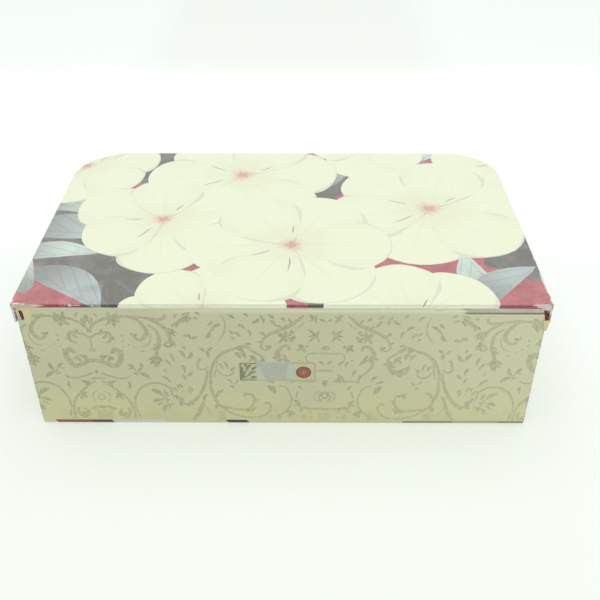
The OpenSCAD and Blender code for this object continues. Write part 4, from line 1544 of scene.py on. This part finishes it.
inner_line = [
    (REAR_Y + WALL_LAYERS, LAP_Z), (REAR_Y + WALL_LAYERS, TRAY_TOP), (strip_high.y + PAPER, TRAY_TOP),
    (strip_high.y + PAPER, LID_UNDER - PAPER), (flap_high.y, LID_UNDER - PAPER),
]
lining_radii = [0.3, 0.03, 0.03]
inner_rows = [Path(inner_line, lining_radii).parts[4][0] + 0.09 * i / 8 for i in range(9)]
inner, inner_place = hinge_sheet("hinge_strip_inside", inner_line, lining_radii, inner_rows, PAPER)
hinge_in = inner.fold(inner_place, {}, hinge_red, hinge_red)
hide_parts("hinge_lining")
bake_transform(hinge_in)

pulp_white = plain_paper("torn_white_pulp", linear(236, 228, 222), linear(202, 176, 168), 0.85, 0.97, 0.5)
scrap_cream = plain_paper("cream_scrap", linear(222, 222, 168), linear(204, 204, 152), 0.7, 0.85, 0.6)
scrap_grey = plain_paper("rubbed_grey_scrap", linear(206, 204, 192), linear(150, 138, 128), 0.8, 0.95, 0.6)
# Loose scraps at the rear corners: finish, body, distance from the rear face, outline as (x, z)
SCRAPS = {
    "torn_scrap_left": (scrap_cream, "tray", 0.0, [
        (-121.8, 73.6), (-118.1, 73.7), (-118.0, 71.0), (-119.0, 68.4), (-120.2, 65.6), (-121.4, 65.1),
        (-121.8, 68.0), (-122.0, 71.4)]),
    "red_slit_left": (hinge_red, "tray", 0.0, [
        (-123.9, 73.4), (-122.4, 73.4), (-121.9, 70.9), (-122.0, 68.3), (-123.0, 67.4), (-123.6, 70.2)]),
    "red_slit_right": (hinge_red, "tray", 0.0, [
        (122.9, 73.9), (124.7, 74.0), (125.4, 70.6), (125.5, 67.0), (124.9, 66.7), (124.2, 69.4),
        (123.6, 71.6)]),
    "torn_scrap_right": (scrap_cream, "tray", 0.06, [
        (124.0, 67.8), (126.6, 68.2), (126.7, 65.0), (126.2, 62.0), (124.9, 61.5), (124.6, 64.2)]),
    "rubbed_edge_right": (scrap_grey, "hinge", 0.06, [
        (86.4, 75.0), (87.0, 73.4), (96.0, 72.9), (104.0, 72.7), (111.0, 72.6), (118.0, 72.6),
        (122.4, 72.7), (123.0, 74.9), (112.0, 74.9), (98.0, 75.0)]),
}
for name, (finish, body, stand_off, outline) in SCRAPS.items():
    scrap, scrap_place = scrap_sheet(name, outline, stand_off)
    piece = scrap.fold(scrap_place, {}, finish, paper_core)
    if body == "hinge":
        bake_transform(piece)
        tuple(fold_start)
        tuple(fold_end)
    else:
        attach(piece, body)

# Tufts of torn fibres: root, way, spread, length and number
FIBRES_RIGHT = [
    ((120.5, -79.8, 76.6), (1, -0.6, -0.1), (3.0, 0.3, 1.0), 6.0, 44),
    ((123.5, -79.7, 76.0), (1, 0.2, -0.6), (2.0, 0.8, 1.4), 5.5, 50),
    ((125.8, -79.3, 75.5), (0.2, -0.1, -1), (0.6, 0.6, 1.2), 4.5, 34),
    ((126.6, -78.5, 72.5), (0.1, 0.2, -1), (0.3, 1.0, 1.6), 4.0, 26),
    ((122.5, -79.7, 74.6), (0.6, 0, -1), (2.0, 0.1, 0.4), 3.0, 22),
]
FIBRES_LEFT = [
    ((-125.8, -79.4, 76.6), (1, 0, 0), (0.8, 0.3, 0.5), 3.6, 26),
    ((-126.4, -79.0, 73.5), (0, 0.2, -1), (0.3, 0.8, 1.4), 3.4, 22),
    ((-122.6, -79.5, 76.9), (1, 0, 0.1), (1.0, 0.3, 0.3), 3.0, 18),
    ((-101.4, -79.5, 76.7), (1, 0, 0), (0.6, 0.2, 0.4), 1.4, 8),
]
for name, roots, seed in (("frayed_corner_right", FIBRES_RIGHT, 3), ("frayed_corner_left", FIBRES_LEFT, 5)):
    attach(fibre_tuft(name, roots, pulp_white, seed), "lid")

CAMERA_PLACE = (0.0101, -0.3795, 0.2986)
CAMERA_PITCH = 0.630583
CAMERA_YAW = -0.004793
CAMERA_ROLL = -0.000963
CAMERA_LENS = 47.92


def make_camera():
    """The camera that sees the box as the photograph does. Its place is in metres."""
    data = bpy.data.cameras.new("photo_camera")
    data.sensor_width = 36
    data.lens = CAMERA_LENS
    data.clip_start = 0.01
    camera = add_object("photo_camera", data)
    cosine, sine = math.cos(CAMERA_PITCH), math.sin(CAMERA_PITCH)
    ahead = Vector((math.sin(CAMERA_YAW) * cosine, math.cos(CAMERA_YAW) * cosine, -sine))
    right = Vector((math.cos(CAMERA_YAW), -math.sin(CAMERA_YAW), 0))
    up = right.cross(ahead)
    turned_right = right * math.cos(CAMERA_ROLL) + up * math.sin(CAMERA_ROLL)
    turned_up = up * math.cos(CAMERA_ROLL) - right * math.sin(CAMERA_ROLL)
    axes = Matrix((turned_right, turned_up, -ahead)).transposed().to_4x4()
    camera.matrix_world = Matrix.Translation(CAMERA_PLACE) @ axes
    bpy.context.scene.camera = camera


# Lamps: name, place in metres, size in metres, watts
LAMPS = [
    ("overhead", (0.0, 0.08, 1.7), (2.6, 2.2), 17.2),
    ("front_fill", (0.8, -1.6, 0.9), (1.2, 1.0), 4.9),
]
LAMP_AIM = Vector((0, 0, 0.05))


def make_lamp(name, place, size, power):
    data = bpy.data.lights.new(name, "AREA")
    data.shape = "RECTANGLE"
    data.size, data.size_y = size
    data.energy = power
    lamp = add_object(name, data)
    lamp.location = place
    lamp.rotation_euler = (LAMP_AIM - Vector(place)).to_track_quat("-Z", "Y").to_euler()


WORLD_LEVEL = 0.55


def make_world():
    """Even studio light, and a white background for the camera and for reflections of it."""
    world = bpy.data.worlds.new("studio")
    bpy.context.scene.world = world
    world.use_nodes = True
    studio = Tree(world.node_tree)
    ground = studio.tree.nodes["Background"]
    ground.inputs["Color"].default_value = (1, 1, 1, 1)
    reach = {"Value": studio.seen(), "To Min": WORLD_LEVEL, "To Max": 1.0}
    studio.feed(ground.inputs["Strength"], studio.node("ShaderNodeMapRange", inputs=reach))


FLOOR_HALF = 4.0
FLOOR_TONE = (0.60, 0.615, 0.60)
FLOOR_GLOW = (0.357, 0.394, 0.348)
FLOOR_GLOW_BEHIND = (0.46, 0.46, 0.46)
FLOOR_GLOW_BESIDE = (0.395, 0.43, 0.41)
OTHER_TONE = (0.8, 0.8, 0.8)
BESIDE_FROM = 125.0
BEHIND_FROM, BEHIND_TO = 60.0, 420.0


def make_floor():
    """A pale table. The camera sees it lit up, by amounts that differ behind and beside the box."""
    mesh = bpy.data.meshes.new("table")
    corners = [(x * FLOOR_HALF, y * FLOOR_HALF, 0) for x, y in ((-1, -1), (1, -1), (1, 1), (-1, 1))]
    mesh.from_pydata(corners, [], [(0, 1, 2, 3)])
    table = add_object("table", mesh)
    top = Finish("pale_table")
    ahead = top.axis("Y")
    behind = ahead.ramp(BEHIND_FROM, BEHIND_FROM + 60) * ahead.ramp(BEHIND_TO + 60, BEHIND_TO - 20)
    beside = abs(top.axis("X")).ramp(BESIDE_FROM, BESIDE_FROM + 60)
    glow = top.mix(behind, top.mix(beside, FLOOR_GLOW, FLOOR_GLOW_BESIDE), FLOOR_GLOW_BEHIND)
    seen = top.node("ShaderNodeEmission", inputs={"Color": glow, "Strength": 1.0})
    matt = top.node("ShaderNodeBsdfDiffuse", inputs={"Color": (*FLOOR_TONE, 1)})
    shown = top.node("ShaderNodeAddShader", inputs=[seen, matt])
    other = top.node("ShaderNodeBsdfDiffuse", inputs={"Color": (*OTHER_TONE, 1)})
    mixed = top.node("ShaderNodeMixShader", inputs=[top.seen(), other, shown])
    top.tree.links.new(mixed.socket, top.tree.nodes["Material Output"].inputs["Surface"])
    mesh.materials.append(top.material)


bpy.context.scene.view_settings.view_transform = "Standard"
make_camera()
make_world()
make_floor()
for lamp in LAMPS:
    make_lamp(*lamp)
